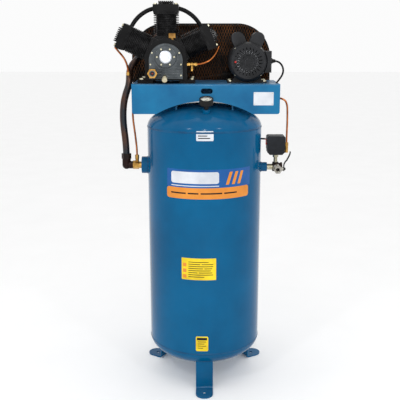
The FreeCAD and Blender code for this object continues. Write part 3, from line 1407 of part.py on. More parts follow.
def make_switch():
    """Pressure switch: a diaphragm base under a deep cover, with an on/off lever on its left side."""
    width = "switch_right - switch_left"
    supply_x, supply_z = SUPPLY_ENTRY
    base = prism("XZ", [[
        ("switch_left + 10", "switch_base"),
        ("switch_right - 10", "switch_base"),
        ("switch_right", "switch_base + 10"),
        ("switch_right", "switch_seam"),
        ("switch_left", "switch_seam"),
        ("switch_left", "switch_base + 10"),
    ]], "-switch_half", "2 * switch_half")
    base_tray = cut(base, box(f"{width} - 24", "2 * switch_half - 10", "20",
                              ("switch_left + 12", "-switch_half + 5", "switch_base + 4")),
                    cylinder("5", "30", (SWITCH_STEM_X, "0", "switch_base - 10")),
                    cylinder("5", "20", (supply_x, "switch_half - 10", supply_z), "Y"))
    node("switch_base", base_tray)
    cover = prism("XZ", [[
        ("switch_left - 2", "switch_seam"),
        ("switch_right + 2", "switch_seam"),
        ("switch_right + 2", "switch_crest - 8", "8", 1),
        ("switch_right - 6", "switch_crest"),
        ("switch_left + 6", "switch_crest", "8", 1),
        ("switch_left - 2", "switch_crest - 8"),
    ]], "-switch_half - 2", "2 * switch_half + 4")
    hollow = box(f"{width} - 2", "2 * switch_half - 2", "switch_crest - switch_seam - 2",
                 ("switch_left + 1", "-switch_half + 1", "switch_seam - 1"))
    lever_hole = cylinder("3.6", "20", ("switch_left - 10", "-12", "switch_seam + 26"), "X")
    entry_x, entry_z = LEAD_ENTRY
    lead_hole = cylinder("5", "20", (entry_x, "switch_half - 10", entry_z), "Y")
    node("switch_cover", cut(cover, hollow, lever_hole, lead_hole))
    pivot = cylinder("3.5", "16", ("switch_left - 8", "-12", "switch_seam + 26"), "X")
    arm = fuse(box("3", "8", "26", ("switch_left - 8", "-16", "switch_seam + 22")),
               box("8", "8", "3", ("switch_left - 13", "-16", "switch_seam + 45")))
    node("switch_lever", fuse(pivot, arm))


def make_drain_valve():
    foot = "(shell_bottom - bottom_rise - 18)"
    body = cut(fuse(cylinder("8.9", "20", ("0", "0", foot)), hexagon("22", "12", ("0", "0", f"{foot} - 12")),
                    cylinder("8", "14", ("0", "0", f"{foot} - 26"))),
               cylinder("4.1", "60", ("0", "0", f"{foot} - 40")))
    node("drain_valve", body)
    wing = cut(fuse(cylinder("4", "26", ("0", "0", f"{foot} - 40")),
                    block("30", "4", "10", ("0", "0", f"{foot} - 40")),
                    cylinder("7", "6", ("0", "0", f"{foot} - 34"))),
               cylinder("1.5", "60", ("0", "0", f"{foot} - 50")))
    node("drain_valve_wing", wing)


def make_lead():
    """The motor's lead, held by a cord grip on the terminal box and another behind the switch."""
    entry_x, entry_z = LEAD_ENTRY
    supply_x, supply_z = SUPPLY_ENTRY
    node("motor_lead", tube("motor_lead", "lead_radius", LEAD_ROUTE))
    box_grip = cut(fuse(hexagon("20", "6", ("283.5", "-80", "1455"), "X"),
                        cone("9", "6.5", "12", ("289.5", "-80", "1455"), "X")),
                   cylinder("lead_radius + 0.1", "40", ("289", "-80", "1455"), "X"))
    switch_grip = cut(fuse(hexagon("18", "5", (entry_x, "switch_half + 2", entry_z), "Y"),
                           cone("8.5", "6.5", "9", (entry_x, "switch_half + 7", entry_z), "Y")),
                      cylinder("lead_radius + 0.1", "40", (entry_x, "switch_half + 9", entry_z), "Y"))
    supply_grip = cut(fuse(hexagon("18", "5", (supply_x, "switch_half", supply_z), "Y"),
                           cone("8.5", "7.5", "9", (supply_x, "switch_half + 5", supply_z), "Y")),
                      cylinder("5", "60", (supply_x, "switch_half - 10", supply_z), "Y"))
    node("cord_grips", group(box_grip, switch_grip, supply_grip))


make_receiver()
make_legs()
make_plate()
make_guard()
head_bolts = make_pump()
make_pump_fasteners(head_bolts)
make_pump_fittings()
make_bearings()
make_belts()
make_motor()
gauge_stem = make_gauge()
make_discharge()
make_copper(gauge_stem)
make_outlet()
make_switch()
make_drain_valve()
make_lead()

# ---------------------------------------------------------------- checks and files

doc.recompute()
for obj in doc.Objects:
    if "Invalid" in obj.State or "Error" in obj.State:
        raise ValueError(f"{obj.Label} ({obj.TypeId}) failed: {obj.State}")
os.makedirs("parts", exist_ok=True)
for obj in nodes:
    shape = obj.Shape
    if shape.isNull() or not shape.isValid() or not shape.Solids:
        raise ValueError(f"{obj.Label} has no valid solid")
    shape.exportStep(f"parts/{obj.Label}.step")
print(len(nodes), "sub-parts written")
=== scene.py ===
"""A vertical tank compressor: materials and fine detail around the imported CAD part, in metres."""

import json
import math

import bmesh
import bpy
from mathutils import Matrix, Vector


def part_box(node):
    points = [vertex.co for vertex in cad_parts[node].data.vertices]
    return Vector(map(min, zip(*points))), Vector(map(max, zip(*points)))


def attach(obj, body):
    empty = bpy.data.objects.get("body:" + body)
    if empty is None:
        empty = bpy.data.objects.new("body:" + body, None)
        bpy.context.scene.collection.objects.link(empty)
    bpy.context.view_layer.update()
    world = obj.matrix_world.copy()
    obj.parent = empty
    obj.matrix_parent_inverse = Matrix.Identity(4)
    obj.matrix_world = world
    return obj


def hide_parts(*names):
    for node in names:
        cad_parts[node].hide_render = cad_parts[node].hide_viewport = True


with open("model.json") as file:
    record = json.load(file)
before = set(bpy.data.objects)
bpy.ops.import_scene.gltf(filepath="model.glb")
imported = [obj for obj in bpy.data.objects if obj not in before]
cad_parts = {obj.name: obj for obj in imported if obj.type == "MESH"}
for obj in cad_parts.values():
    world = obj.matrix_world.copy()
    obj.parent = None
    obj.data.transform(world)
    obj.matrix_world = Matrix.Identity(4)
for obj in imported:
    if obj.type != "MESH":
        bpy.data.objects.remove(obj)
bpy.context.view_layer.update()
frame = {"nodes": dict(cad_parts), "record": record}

MM = 0.001
TANK_RADIUS = 254 * MM
SHELL_BOTTOM = 181 * MM
SHELL_TOP = 1170 * MM
TOP_RISE = 104 * MM
BOTTOM_RISE = 102 * MM
GUARD_HIGH_CORNER = 150 * MM
GUARD_LOW_CORNER = 30 * MM
GUARD_SHEET = 2 * MM
GAUGE_TILT = math.radians(19)
CRANK = (-162 * MM, 1473 * MM)
MOTOR = (184.5 * MM, 1452 * MM)
COVER_FACE = -130 * MM
BELL_FACE = -120 * MM
PAINT_LIFT = 0.05 * MM
PRINT_LIFT = 0.17 * MM
TOP_PRINT_LIFT = 0.29 * MM
SMOOTH_ANGLE = 32

# ---------------------------------------------------------------- materials


class Tree:
    """A material's node tree, with short calls for the nodes that every material uses."""

    def __init__(self, name):
        self.material = bpy.data.materials.new(name)
        self.material.use_nodes = True
        self.nodes = self.material.node_tree.nodes
        self.links = self.material.node_tree.links
        self.shader = self.nodes["Principled BSDF"]
        self.place = self.node("ShaderNodeTexCoord").outputs["Object"]

    def node(self, kind, inputs=(), **settings):
        made = self.nodes.new(kind)
        for key, setting in settings.items():
            setattr(made, key, setting)
        for key, source in dict(inputs).items():
            if isinstance(source, bpy.types.NodeSocket):
                self.links.new(source, made.inputs[key])
            else:
                made.inputs[key].default_value = source
        return made

    def stretched(self, scale):
        return self.node("ShaderNodeMapping", {"Vector": self.place, "Scale": scale}).outputs[0]

    def noise(self, scale, detail=4.0, place=None, rough=0.55):
        made = self.node("ShaderNodeTexNoise", {
            "Vector": place or self.place, "Scale": scale, "Detail": detail, "Roughness": rough})
        return made.outputs["Fac"]

    def span(self, source, low, high, to_low=0.0, to_high=1.0):
        made = self.node("ShaderNodeMapRange", {
            "Value": source, "From Min": low, "From Max": high, "To Min": to_low, "To Max": to_high})
        return made.outputs[0]

    def times(self, first, second, operation="MULTIPLY"):
        return self.node("ShaderNodeMath", {0: first, 1: second}, operation=operation).outputs[0]

    def mix(self, factor, first, second):
        made = self.node("ShaderNodeMix", data_type="RGBA")
        for key, source in ((0, factor), (6, first), (7, second)):
            if isinstance(source, bpy.types.NodeSocket):
                self.links.new(source, made.inputs[key])
            else:
                made.inputs[key].default_value = source
        return made.outputs[2]

    def drive(self, key, source):
        self.links.new(source, self.shader.inputs[key])


def rgb(red, green, blue):
    """A linear colour from the usual 0 to 255 screen values."""
    return tuple(round(((v / 255 + 0.055) / 1.055) ** 2.4 if v > 10 else v / 3295, 5)
                 for v in (red, green, blue)) + (1.0,)


BEVEL_SAMPLES = 4
COAT_ROUGHNESS = 0.12
RUBBED_FROM, RUBBED_TO = 0.999, 0.90
RUB_SCALE, DUST_SCALE, WAVE_SCALE = 60.0, 22.0, 18.0
WAVE_DEPTH = 1.5 * MM


def surface(name, base, shade, worn, metallic=0.0, rough=(0.3, 0.5), patch=7.0, grain=260.0, bump=0.15,
            depth=0.4 * MM, edge=1.0 * MM, wear=0.5, dust=0.25, dust_color=(0.33, 0.31, 0.28, 1), coat=0.0,
            stretch=(1, 1, 1), specks=0.0, specular=0.16, broad=0.0):
    """A finish with broad and fine variation, worn edges, dust on what faces up, and a grained relief."""
    t = Tree(name)
    place = t.stretched(stretch)
    cloudy = t.noise(patch, 6.0, place)
    fine = t.noise(grain, 3.0, place)
    color = t.mix(t.span(cloudy, 0.35, 0.68), base, shade)
    rounded = t.node("ShaderNodeBevel", {"Radius": edge}, samples=BEVEL_SAMPLES).outputs[0]
    flat = t.node("ShaderNodeNewGeometry").outputs["Normal"]
    straight = t.node("ShaderNodeVectorMath", {0: rounded, 1: flat}, operation="DOT_PRODUCT").outputs["Value"]
    rubbed = t.times(t.span(straight, RUBBED_FROM, RUBBED_TO), t.span(t.noise(RUB_SCALE, 5.0), 0.42, 0.62))
    color = t.mix(t.times(rubbed, wear), color, worn)
    if specks:
        spots = t.span(t.noise(grain * 1.7, 2.0), 0.70, 0.76)
        color = t.mix(t.times(spots, specks), color, worn)
    up = t.node("ShaderNodeSeparateXYZ", {0: flat}).outputs["Z"]
    patchy = t.span(t.noise(DUST_SCALE, 6.0), 0.3, 0.75)
    settled = t.times(t.times(t.span(up, 0.25, 1.0), patchy), dust)
    color = t.mix(settled, color, dust_color)
    t.drive("Base Color", color)
    dull = t.times(t.span(cloudy, 0.3, 0.7, rough[0], rough[1]), t.times(settled, 0.35), "ADD")
    dull = t.times(dull, t.span(fine, 0.3, 0.7, -0.05, 0.05), "ADD")
    t.drive("Roughness", dull)
    relief = t.node("ShaderNodeBump", {
        "Height": fine, "Strength": bump, "Distance": depth, "Normal": rounded}).outputs[0]
    if broad:
        relief = t.node("ShaderNodeBump", {
            "Height": t.noise(WAVE_SCALE, 3.0), "Strength": broad, "Distance": WAVE_DEPTH,
            "Normal": relief}).outputs[0]
    t.drive("Normal", relief)
    t.shader.inputs["Metallic"].default_value = metallic
    t.shader.inputs["Specular IOR Level"].default_value = specular
    t.shader.inputs["Coat Weight"].default_value = coat
    t.shader.inputs["Coat Roughness"].default_value = COAT_ROUGHNESS
    return t.material


DARK_DIRT = rgb(26, 22, 18)

FINISHES = {
    "tank_paint": dict(
        base=rgb(0, 90, 134), shade=rgb(0, 74, 114), worn=rgb(24, 112, 150), rough=(0.11, 0.18), patch=3.0,
        grain=520.0, bump=0.08, depth=0.25 * MM, wear=0.5, dust=0.06, specks=0.10, specular=0.14, broad=0.16),
    "plate_paint": dict(
        base=rgb(18, 108, 152), shade=rgb(4, 84, 128), worn=rgb(88, 158, 190), rough=(0.30, 0.46),
        patch=6.0, grain=420.0, bump=0.14, wear=0.8, dust=0.3, coat=0.08, specks=0.5, broad=0.08),
    "pump_iron": dict(
        base=rgb(14, 14, 15), shade=rgb(7, 7, 8), worn=rgb(112, 112, 114), rough=(0.3, 0.5), patch=12.0,
        grain=330.0, bump=0.55, depth=0.6 * MM, edge=1.6 * MM, wear=0.5, dust=0.0, specks=0.08, specular=0.1),
    "cover_grey": dict(
        base=rgb(82, 87, 90), shade=rgb(54, 58, 61), worn=rgb(176, 180, 182), metallic=0.35,
        rough=(0.36, 0.55), patch=14.0, grain=420.0, bump=0.5, depth=0.4 * MM, wear=0.8, dust=0.2,
        dust_color=rgb(30, 26, 22)),
    "inner_iron": dict(
        base=rgb(104, 102, 100), shade=rgb(70, 66, 62), worn=rgb(170, 168, 165), metallic=0.9,
        rough=(0.32, 0.52), patch=20.0, wear=0.5, dust=0.2),
    "bright_steel": dict(
        base=rgb(140, 142, 145), shade=rgb(92, 94, 97), worn=rgb(196, 197, 200), metallic=1.0,
        rough=(0.18, 0.34), patch=16.0, grain=600.0, bump=0.12, wear=0.3, dust=0.12, stretch=(1, 8, 1)),
    "zinc_steel": dict(
        base=rgb(196, 192, 170), shade=rgb(158, 152, 128), worn=rgb(225, 224, 214), metallic=0.95,
        rough=(0.28, 0.46), patch=34.0, grain=500.0, bump=0.22, wear=0.4, dust=0.25, dust_color=DARK_DIRT),
    "aluminium": dict(
        base=rgb(212, 216, 222), shade=rgb(176, 180, 188), worn=rgb(240, 242, 245), metallic=1.0,
        rough=(0.22, 0.38), patch=26.0, grain=700.0, bump=0.2, wear=0.3, dust=0.1),
    "brass": dict(
        base=rgb(208, 164, 88), shade=rgb(150, 110, 52), worn=rgb(240, 214, 150), metallic=1.0,
        rough=(0.22, 0.42), patch=40.0, grain=600.0, bump=0.2, wear=0.5, dust=0.2, dust_color=DARK_DIRT),
    "copper": dict(
        base=rgb(205, 122, 66), shade=rgb(126, 66, 34), worn=rgb(244, 178, 120), metallic=1.0,
        rough=(0.22, 0.42), patch=24.0, grain=500.0, bump=0.14, wear=0.4, dust=0.1, dust_color=DARK_DIRT),
    # painted highlight, partly: the discharge tube's upright copper-brown patches and bright copper specks
    # are partly exposed copper under a dark finish, partly painted copper glints along the tube
    "tube_metal": dict(
        base=rgb(54, 58, 62), shade=rgb(92, 62, 46), worn=rgb(222, 164, 122), metallic=0.85,
        rough=(0.22, 0.42), patch=16.0, specks=0.5, grain=420.0, bump=0.3, wear=0.4, dust=0.12,
        stretch=(1.6, 1.6, 0.7)),
    "black_iron": dict(
        base=rgb(26, 23, 22), shade=rgb(44, 20, 16), worn=rgb(110, 96, 86), metallic=0.4,
        rough=(0.34, 0.56), patch=30.0, grain=360.0, bump=0.5, depth=0.5 * MM, wear=0.5, dust=0.2),
    "guard_paint": dict(
        base=rgb(7, 7, 8), shade=rgb(12, 11, 10), worn=rgb(120, 118, 112), rough=(0.26, 0.42), patch=9.0,
        grain=420.0, bump=0.12, wear=0.8, dust=0.04, specular=0.08),
    "guard_mesh": dict(
        base=rgb(22, 18, 14), shade=rgb(112, 68, 34), worn=rgb(152, 104, 62), metallic=0.1,
        rough=(0.36, 0.55), patch=16.0, wear=0.5, dust=0.0, edge=0.3 * MM, specular=0.12),
    "filter_paint": dict(
        base=rgb(20, 20, 22), shade=rgb(12, 12, 13), worn=rgb(110, 110, 110), rough=(0.3, 0.45), patch=14.0,
        wear=0.6, dust=0.35, coat=0.2),
    "belt_rubber": dict(
        base=rgb(24, 24, 24), shade=rgb(38, 37, 36), worn=rgb(80, 78, 74), rough=(0.6, 0.85), patch=30.0,
        grain=900.0, bump=0.5, wear=0.6, dust=0.35, specular=0.3),
    "motor_paint": dict(
        base=rgb(34, 35, 38), shade=rgb(18, 19, 21), worn=rgb(130, 132, 136), rough=(0.34, 0.5), patch=11.0,
        grain=420.0, bump=0.3, wear=0.7, dust=0.05, specks=0.3),
    "switch_plastic": dict(
        base=rgb(40, 43, 48), shade=rgb(28, 30, 34), worn=rgb(90, 94, 100), rough=(0.42, 0.6), patch=18.0,
        grain=900.0, bump=0.35, wear=0.4, dust=0.3),
    "black_plastic": dict(
        base=rgb(20, 20, 21), shade=rgb(13, 13, 14), worn=rgb(70, 70, 72), rough=(0.4, 0.6), patch=30.0,
        grain=900.0, bump=0.3, wear=0.4, dust=0.2),
    "lever_coating": dict(
        base=rgb(30, 30, 32), shade=rgb(20, 20, 22), worn=rgb(96, 96, 98), rough=(0.38, 0.55), patch=40.0,
        grain=900.0, bump=0.3, wear=0.5, dust=0.15),
    "red_plastic": dict(
        base=rgb(188, 30, 22), shade=rgb(150, 18, 14), worn=rgb(226, 90, 70), rough=(0.25, 0.4), patch=60.0,
        grain=900.0, bump=0.1, wear=0.3, dust=0.15, coat=0.4),
    "cord_rubber": dict(
        base=rgb(30, 31, 34), shade=rgb(20, 21, 24), worn=rgb(74, 76, 80), rough=(0.45, 0.65), patch=24.0,
        grain=1100.0, bump=0.35, wear=0.3, dust=0.25),
    "gauge_black": dict(
        base=rgb(12, 12, 13), shade=rgb(19, 18, 17), worn=rgb(96, 88, 74), rough=(0.28, 0.42), patch=40.0,
        grain=700.0, bump=0.12, wear=0.5, dust=0.05, coat=0.1),
    "gauge_white": dict(
        base=rgb(236, 234, 220), shade=rgb(220, 214, 190), worn=rgb(246, 246, 240), rough=(0.45, 0.6),
        patch=60.0, grain=900.0, bump=0.05, wear=0.1, dust=0.05, edge=0.2 * MM),
    "needle_paint": dict(
        base=rgb(14, 14, 14), shade=rgb(22, 22, 22), worn=rgb(70, 70, 70), rough=(0.4, 0.6), patch=80.0,
        wear=0.2, dust=0.0, edge=0.1 * MM),
    "mark_paint": dict(
        base=rgb(18, 18, 20), shade=rgb(30, 30, 32), worn=rgb(60, 60, 60), rough=(0.5, 0.7), patch=80.0,
        wear=0.1, dust=0.0, edge=0.05 * MM),
    "weld": dict(
        base=rgb(0, 80, 122), shade=rgb(0, 62, 100), worn=rgb(24, 104, 140), rough=(0.2, 0.32), patch=12.0,
        grain=600.0, bump=0.2, wear=0.4, dust=0.10, coat=0.1, edge=0.3 * MM),
    "plated_brass": dict(
        base=rgb(188, 186, 180), shade=rgb(142, 138, 128), worn=rgb(222, 206, 160), metallic=1.0,
        rough=(0.18, 0.34), patch=44.0, grain=700.0, bump=0.15, wear=0.5, dust=0.15, dust_color=DARK_DIRT),
    "cream_cap": dict(
        base=rgb(206, 198, 172), shade=rgb(178, 168, 140), worn=rgb(228, 222, 204), rough=(0.4, 0.6),
        patch=40.0, grain=800.0, bump=0.2, wear=0.3, dust=0.3, dust_color=DARK_DIRT),
    "tan_cap": dict(
        base=rgb(150, 112, 58), shade=rgb(112, 80, 38), worn=rgb(206, 170, 108), metallic=0.6,
        rough=(0.34, 0.5), patch=36.0, grain=700.0, bump=0.3, wear=0.5, dust=0.3, dust_color=DARK_DIRT),
    "oil_window": dict(
        base=rgb(34, 22, 10), shade=rgb(18, 12, 7), worn=rgb(70, 52, 30), rough=(0.12, 0.24), patch=60.0,
        grain=900.0, bump=0.05, wear=0.1, dust=0.05, coat=0.5),
    "decal_blue": dict(
        base=rgb(14, 88, 156), shade=rgb(8, 70, 134), worn=rgb(84, 144, 196), rough=(0.2, 0.34), patch=9.0,
        grain=700.0, bump=0.05, wear=0.2, dust=0.08, coat=0.4, edge=0.2 * MM),
    "decal_orange": dict(
        base=rgb(222, 142, 54), shade=rgb(202, 122, 44), worn=rgb(236, 186, 112), rough=(0.24, 0.38),
        patch=9.0, grain=700.0, bump=0.05, wear=0.2, dust=0.08, coat=0.3, edge=0.2 * MM),
    "decal_white": dict(
        base=rgb(214, 218, 224), shade=rgb(192, 196, 204), worn=rgb(236, 237, 240), rough=(0.3, 0.45),
        patch=14.0, grain=700.0, bump=0.05, wear=0.1, dust=0.12, coat=0.2, edge=0.2 * MM,
        dust_color=rgb(150, 140, 130)),
    "decal_yellow": dict(
        base=rgb(238, 210, 40), shade=rgb(214, 184, 30), worn=rgb(248, 232, 120), rough=(0.3, 0.45),
        patch=16.0, grain=700.0, bump=0.05, wear=0.2, dust=0.1, coat=0.2, edge=0.2 * MM),
}
LOOKS = {name: surface(name, **finish) for name, finish in FINISHES.items()}


def clear_glass():
    t = Tree("clear_glass")
    smear = t.noise(40.0, 5.0)
    t.drive("Roughness", t.span(smear, 0.35, 0.75, 0.02, 0.14))
    t.drive("Base Color", t.mix(t.span(smear, 0.4, 0.8), (0.95, 0.97, 0.97, 1), (0.85, 0.87, 0.86, 1)))
    t.drive("Normal", t.node("ShaderNodeBump", {
        "Height": t.noise(25.0, 2.0), "Strength": 0.05, "Distance": 0.3 * MM}).outputs[0])
    t.drive("Alpha", t.span(smear, 0.35, 0.75, 0.10, 0.18))
    t.shader.inputs["Specular IOR Level"].default_value = 0.3
    return t.material


LOOKS["clear_glass"] = clear_glass()


def dress_nodes():
    """Each CAD node takes the finish of its slot in the record, or its own, and is shaded smooth."""
    slots = {entry["node"]: entry["material_slot"] for entry in frame["record"]["subparts"]}
    own_looks = {"top_plate": "plate_paint", "plate_saddles": "plate_paint",
                 "ball_valve_body": "plated_brass"}
    for name, piece in frame["nodes"].items():
        look = LOOKS[own_looks.get(name, slots[name])]
        piece.data.materials.clear()
        piece.data.materials.append(look)
        smooth(piece)


def refinish(name, look, chosen):
    """Give the faces of a CAD node whose middle passes a test a second finish."""
    piece = frame["nodes"][name]
    piece.data.materials.append(LOOKS[look])
    second = len(piece.data.materials) - 1
    for face in piece.data.polygons:
        if chosen(piece.matrix_world @ face.center):
            face.material_index = second


def mixed_finishes():
    """Nodes made of parts with different finishes: the gauge stem painted black as painted shade under the
    gauge case, the oil filler and the oil drain.
    """
    # painted shade: the brass gauge stem under the gauge case takes the gauge's black, for the shade that
    # falls there
    refinish("brass_fittings", "gauge_black", lambda p: p.y < -150 * MM and p.z > 1250 * MM)
    refinish("oil_fittings", "tan_cap", lambda p: p.z > 1540 * MM)
    refinish("oil_fittings", "cream_cap", lambda p: p.z < 1420 * MM and p.y < -158 * MM)


def smooth(piece, angle=SMOOTH_ANGLE):
    piece.data.shade_smooth()
    bpy.context.view_layer.objects.active = piece
    piece.select_set(True)
    bpy.ops.object.shade_smooth_by_angle(angle=math.radians(angle))
    piece.select_set(False)


# ---------------------------------------------------------------- making pieces


def finish_piece(name, mesh, look, body="frame", slot=None, angle=SMOOTH_ANGLE):
    """A mesh becomes a piece of the object: its material, shading and body; the slot it is given is not used.
    """
    mesh.materials.append(LOOKS[look])
    piece = bpy.data.objects.new(name, mesh)
    bpy.context.scene.collection.objects.link(piece)
    smooth(piece, angle)
    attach(piece, body)
    return piece


def from_bmesh(name, made, look, **more):
    bmesh.ops.recalc_face_normals(made, faces=made.faces)
    mesh = bpy.data.meshes.new(name)
    made.to_mesh(mesh)
    made.free()
    return finish_piece(name, mesh, look, **more)


def from_lists(name, points, faces, look, **more):
    mesh = bpy.data.meshes.new(name)
    mesh.from_pydata(points, [], faces)
    mesh.validate()
    made = bmesh.new()
    made.from_mesh(mesh)
    bpy.data.meshes.remove(mesh)
    return from_bmesh(name, made, look, **more)


def rounded_box(left, low, right, high, corner, steps=5):
    """The outline of a rounded rectangle, anticlockwise."""
    points = []
    for cx, cz, start in ((right - corner, low + corner, 270), (right - corner, high - corner, 0),
                          (left + corner, high - corner, 90), (left + corner, low + corner, 180)):
        for i in range(steps + 1):
            turn = math.radians(start + 90 * i / steps)
            points.append((cx + corner * math.cos(turn), cz + corner * math.sin(turn)))
    return points


def on_tank(lift):
    """A place on the shell, from the arc length off its front line, the height and a lift off the paint."""
    def at(s, z, out):
        radius = TANK_RADIUS + lift + out
        return Vector((radius * math.sin(s / TANK_RADIUS), -radius * math.cos(s / TANK_RADIUS), z))
    return at


def on_plane(y):
    return lambda x, z, out: Vector((x, y - out, z))


def sticker(name, outlines, place, look, thick=0.12 * MM, step=6 * MM):
    """Thin printed shapes: flat outlines, cut into strips and wrapped onto a surface."""
    made = bmesh.new()
    for outline in outlines:
        made.faces.new([made.verts.new((x, 0, z)) for x, z in outline])
    reach = [p[0] for outline in outlines for p in outline]
    cuts = int((max(reach) - min(reach)) / step)
    for i in range(1, cuts + 1):
        bmesh.ops.bisect_plane(made, geom=made.verts[:] + made.edges[:] + made.faces[:],
                               plane_co=(min(reach) + i * step, 0, 0), plane_no=(1, 0, 0))
    grown = bmesh.ops.extrude_face_region(made, geom=made.faces[:])
    for v in grown["geom"]:
        if isinstance(v, bmesh.types.BMVert):
            v.co.y = 1
    for v in made.verts:
        v.co = place(v.co.x, v.co.z, thick if v.co.y > 0.5 else 0.0)
    return from_bmesh(name, made, look)


def bead(name, path, outs, width, height, look="weld", closed=True, ripple=3 * MM):
    """A weld bead: overlapping ripples along a path, standing out along each point's own direction."""
    around = 8
    points, faces = [], []
    count = len(path)
    travelled = 0.0
    for i, (p, out) in enumerate(zip(path, outs)):
        ahead = path[(i + 1) % count] if closed or i < count - 1 else p
        behind = path[i - 1] if closed or i else p
        along = (ahead - behind).normalized()
        out = (out - along * out.dot(along)).normalized()
        side = along.cross(out)
        travelled += (p - behind).length
        wave = (travelled / ripple) % 1.0
        # each ripple swells to full size, under two slow waves, so that no two are alike
        swell = 0.72 + 0.28 * math.sqrt(max(0.0, 1 - wave * wave))
        swell *= 1 + 0.06 * math.sin(travelled * 210) + 0.04 * math.sin(travelled * 77 + 1)
        taper = 1.0 if closed else min(1.0, 0.25 + 0.25 * min(i, count - 1 - i))
        for k in range(around):
            turn = math.tau * k / around
            points.append(p + side * (width * swell * taper * math.cos(turn))
                          + out * (height * swell * taper * math.sin(turn)))
    for i in range(count if closed else count - 1):
        here, there = i * around, ((i + 1) % count) * around
        for k in range(around):
            nxt = (k + 1) % around
            faces.append((here + k, here + nxt, there + nxt, there + k))
    if not closed:
        faces.append(tuple(range(around)))
        faces.append(tuple(range((count - 1) * around, count * around)))
    return from_lists(name, points, faces, look, slot="tank_paint", angle=60)


# ---------------------------------------------------------------- receiver


def head_height(radius, upper):
    """Height of a dished head's surface at a distance from the tank's axis."""
    rise = math.sqrt(max(0.0, 1 - (radius / TANK_RADIUS) ** 2))
    return SHELL_TOP + TOP_RISE * rise if upper else SHELL_BOTTOM - BOTTOM_RISE * rise


def ring_path(count, at):
    return [at(math.tau * i / count) for i in range(count)]


LEG_ANGLES = (-90, 30, 150)
LEG_WELD_RADIUS = 228 * MM
LEG_WELD_HALF = 38 * MM
SADDLE_X = 123 * MM
SADDLE_WELD_HALF = 108 * MM
INLET = (-1, 992 * MM, 38 * MM)
OUTLET = (1, 983 * MM, 21 * MM)
GIRTH_POINTS, BUNG_POINTS = 1300, 190


def receiver_welds():
    for name, height in (("upper_girth_weld", SHELL_TOP), ("lower_girth_weld", SHELL_BOTTOM)):
        path = ring_path(GIRTH_POINTS,
                         lambda a: Vector((TANK_RADIUS * math.cos(a), TANK_RADIUS * math.sin(a), height)))
        bead(name, path, [Vector((p.x, p.y, 0)).normalized() for p in path], 4.2 * MM, 1.3 * MM)
    for name, (side, height, bung) in (("inlet_bung_weld", INLET), ("outlet_bung_weld", OUTLET)):
        def at(a):
            y = bung * math.sin(a)
            return Vector((side * math.sqrt(TANK_RADIUS ** 2 - y * y), y, height + bung * math.cos(a)))
        path = ring_path(BUNG_POINTS, at)
        turns = [i * math.tau / BUNG_POINTS for i in range(BUNG_POINTS)]
        outs = [Vector((side * 0.6, math.sin(a), math.cos(a))) for a in turns]
        bead(name, path, outs, 4.5 * MM, 3.6 * MM)
    for i, angle in enumerate(LEG_ANGLES):
        turn = Matrix.Rotation(math.radians(angle), 4, "Z")
        path, outs = [], []
        for k in range(61):
            y = (k / 30 - 1) * LEG_WELD_HALF
            height = head_height(math.hypot(LEG_WELD_RADIUS, y), False)
            path.append(turn @ Vector((LEG_WELD_RADIUS, y, height)))
            outs.append(turn @ Vector((0.8, 0, -0.6)))
        bead(f"leg_weld_{i + 1}", path, outs, 4.0 * MM, 3.2 * MM, closed=False)
    for name, x in (("left_saddle_weld", -SADDLE_X), ("right_saddle_weld", SADDLE_X)):
        path, outs = [], []
        for k in range(181):
            y = (k / 90 - 1) * SADDLE_WELD_HALF
            path.append(Vector((x, y, head_height(math.hypot(x, y), True))))
            outs.append(Vector((math.copysign(1, x), 0, 0.9)))
        bead(name, path, outs, 3.6 * MM, 3.0 * MM, closed=False)


def bars(left, high, widths, gap, tall, drop):
    """Rows of plain printed bars, each row of one or more pieces."""
    outlines = []
    for row, pieces in enumerate(widths):
        x = left
        top = high - row * drop
        for width in pieces:
            outlines.append([(x, top - tall), (x + width, top - tall), (x + width, top), (x, top)])
            x += width + gap
    return outlines


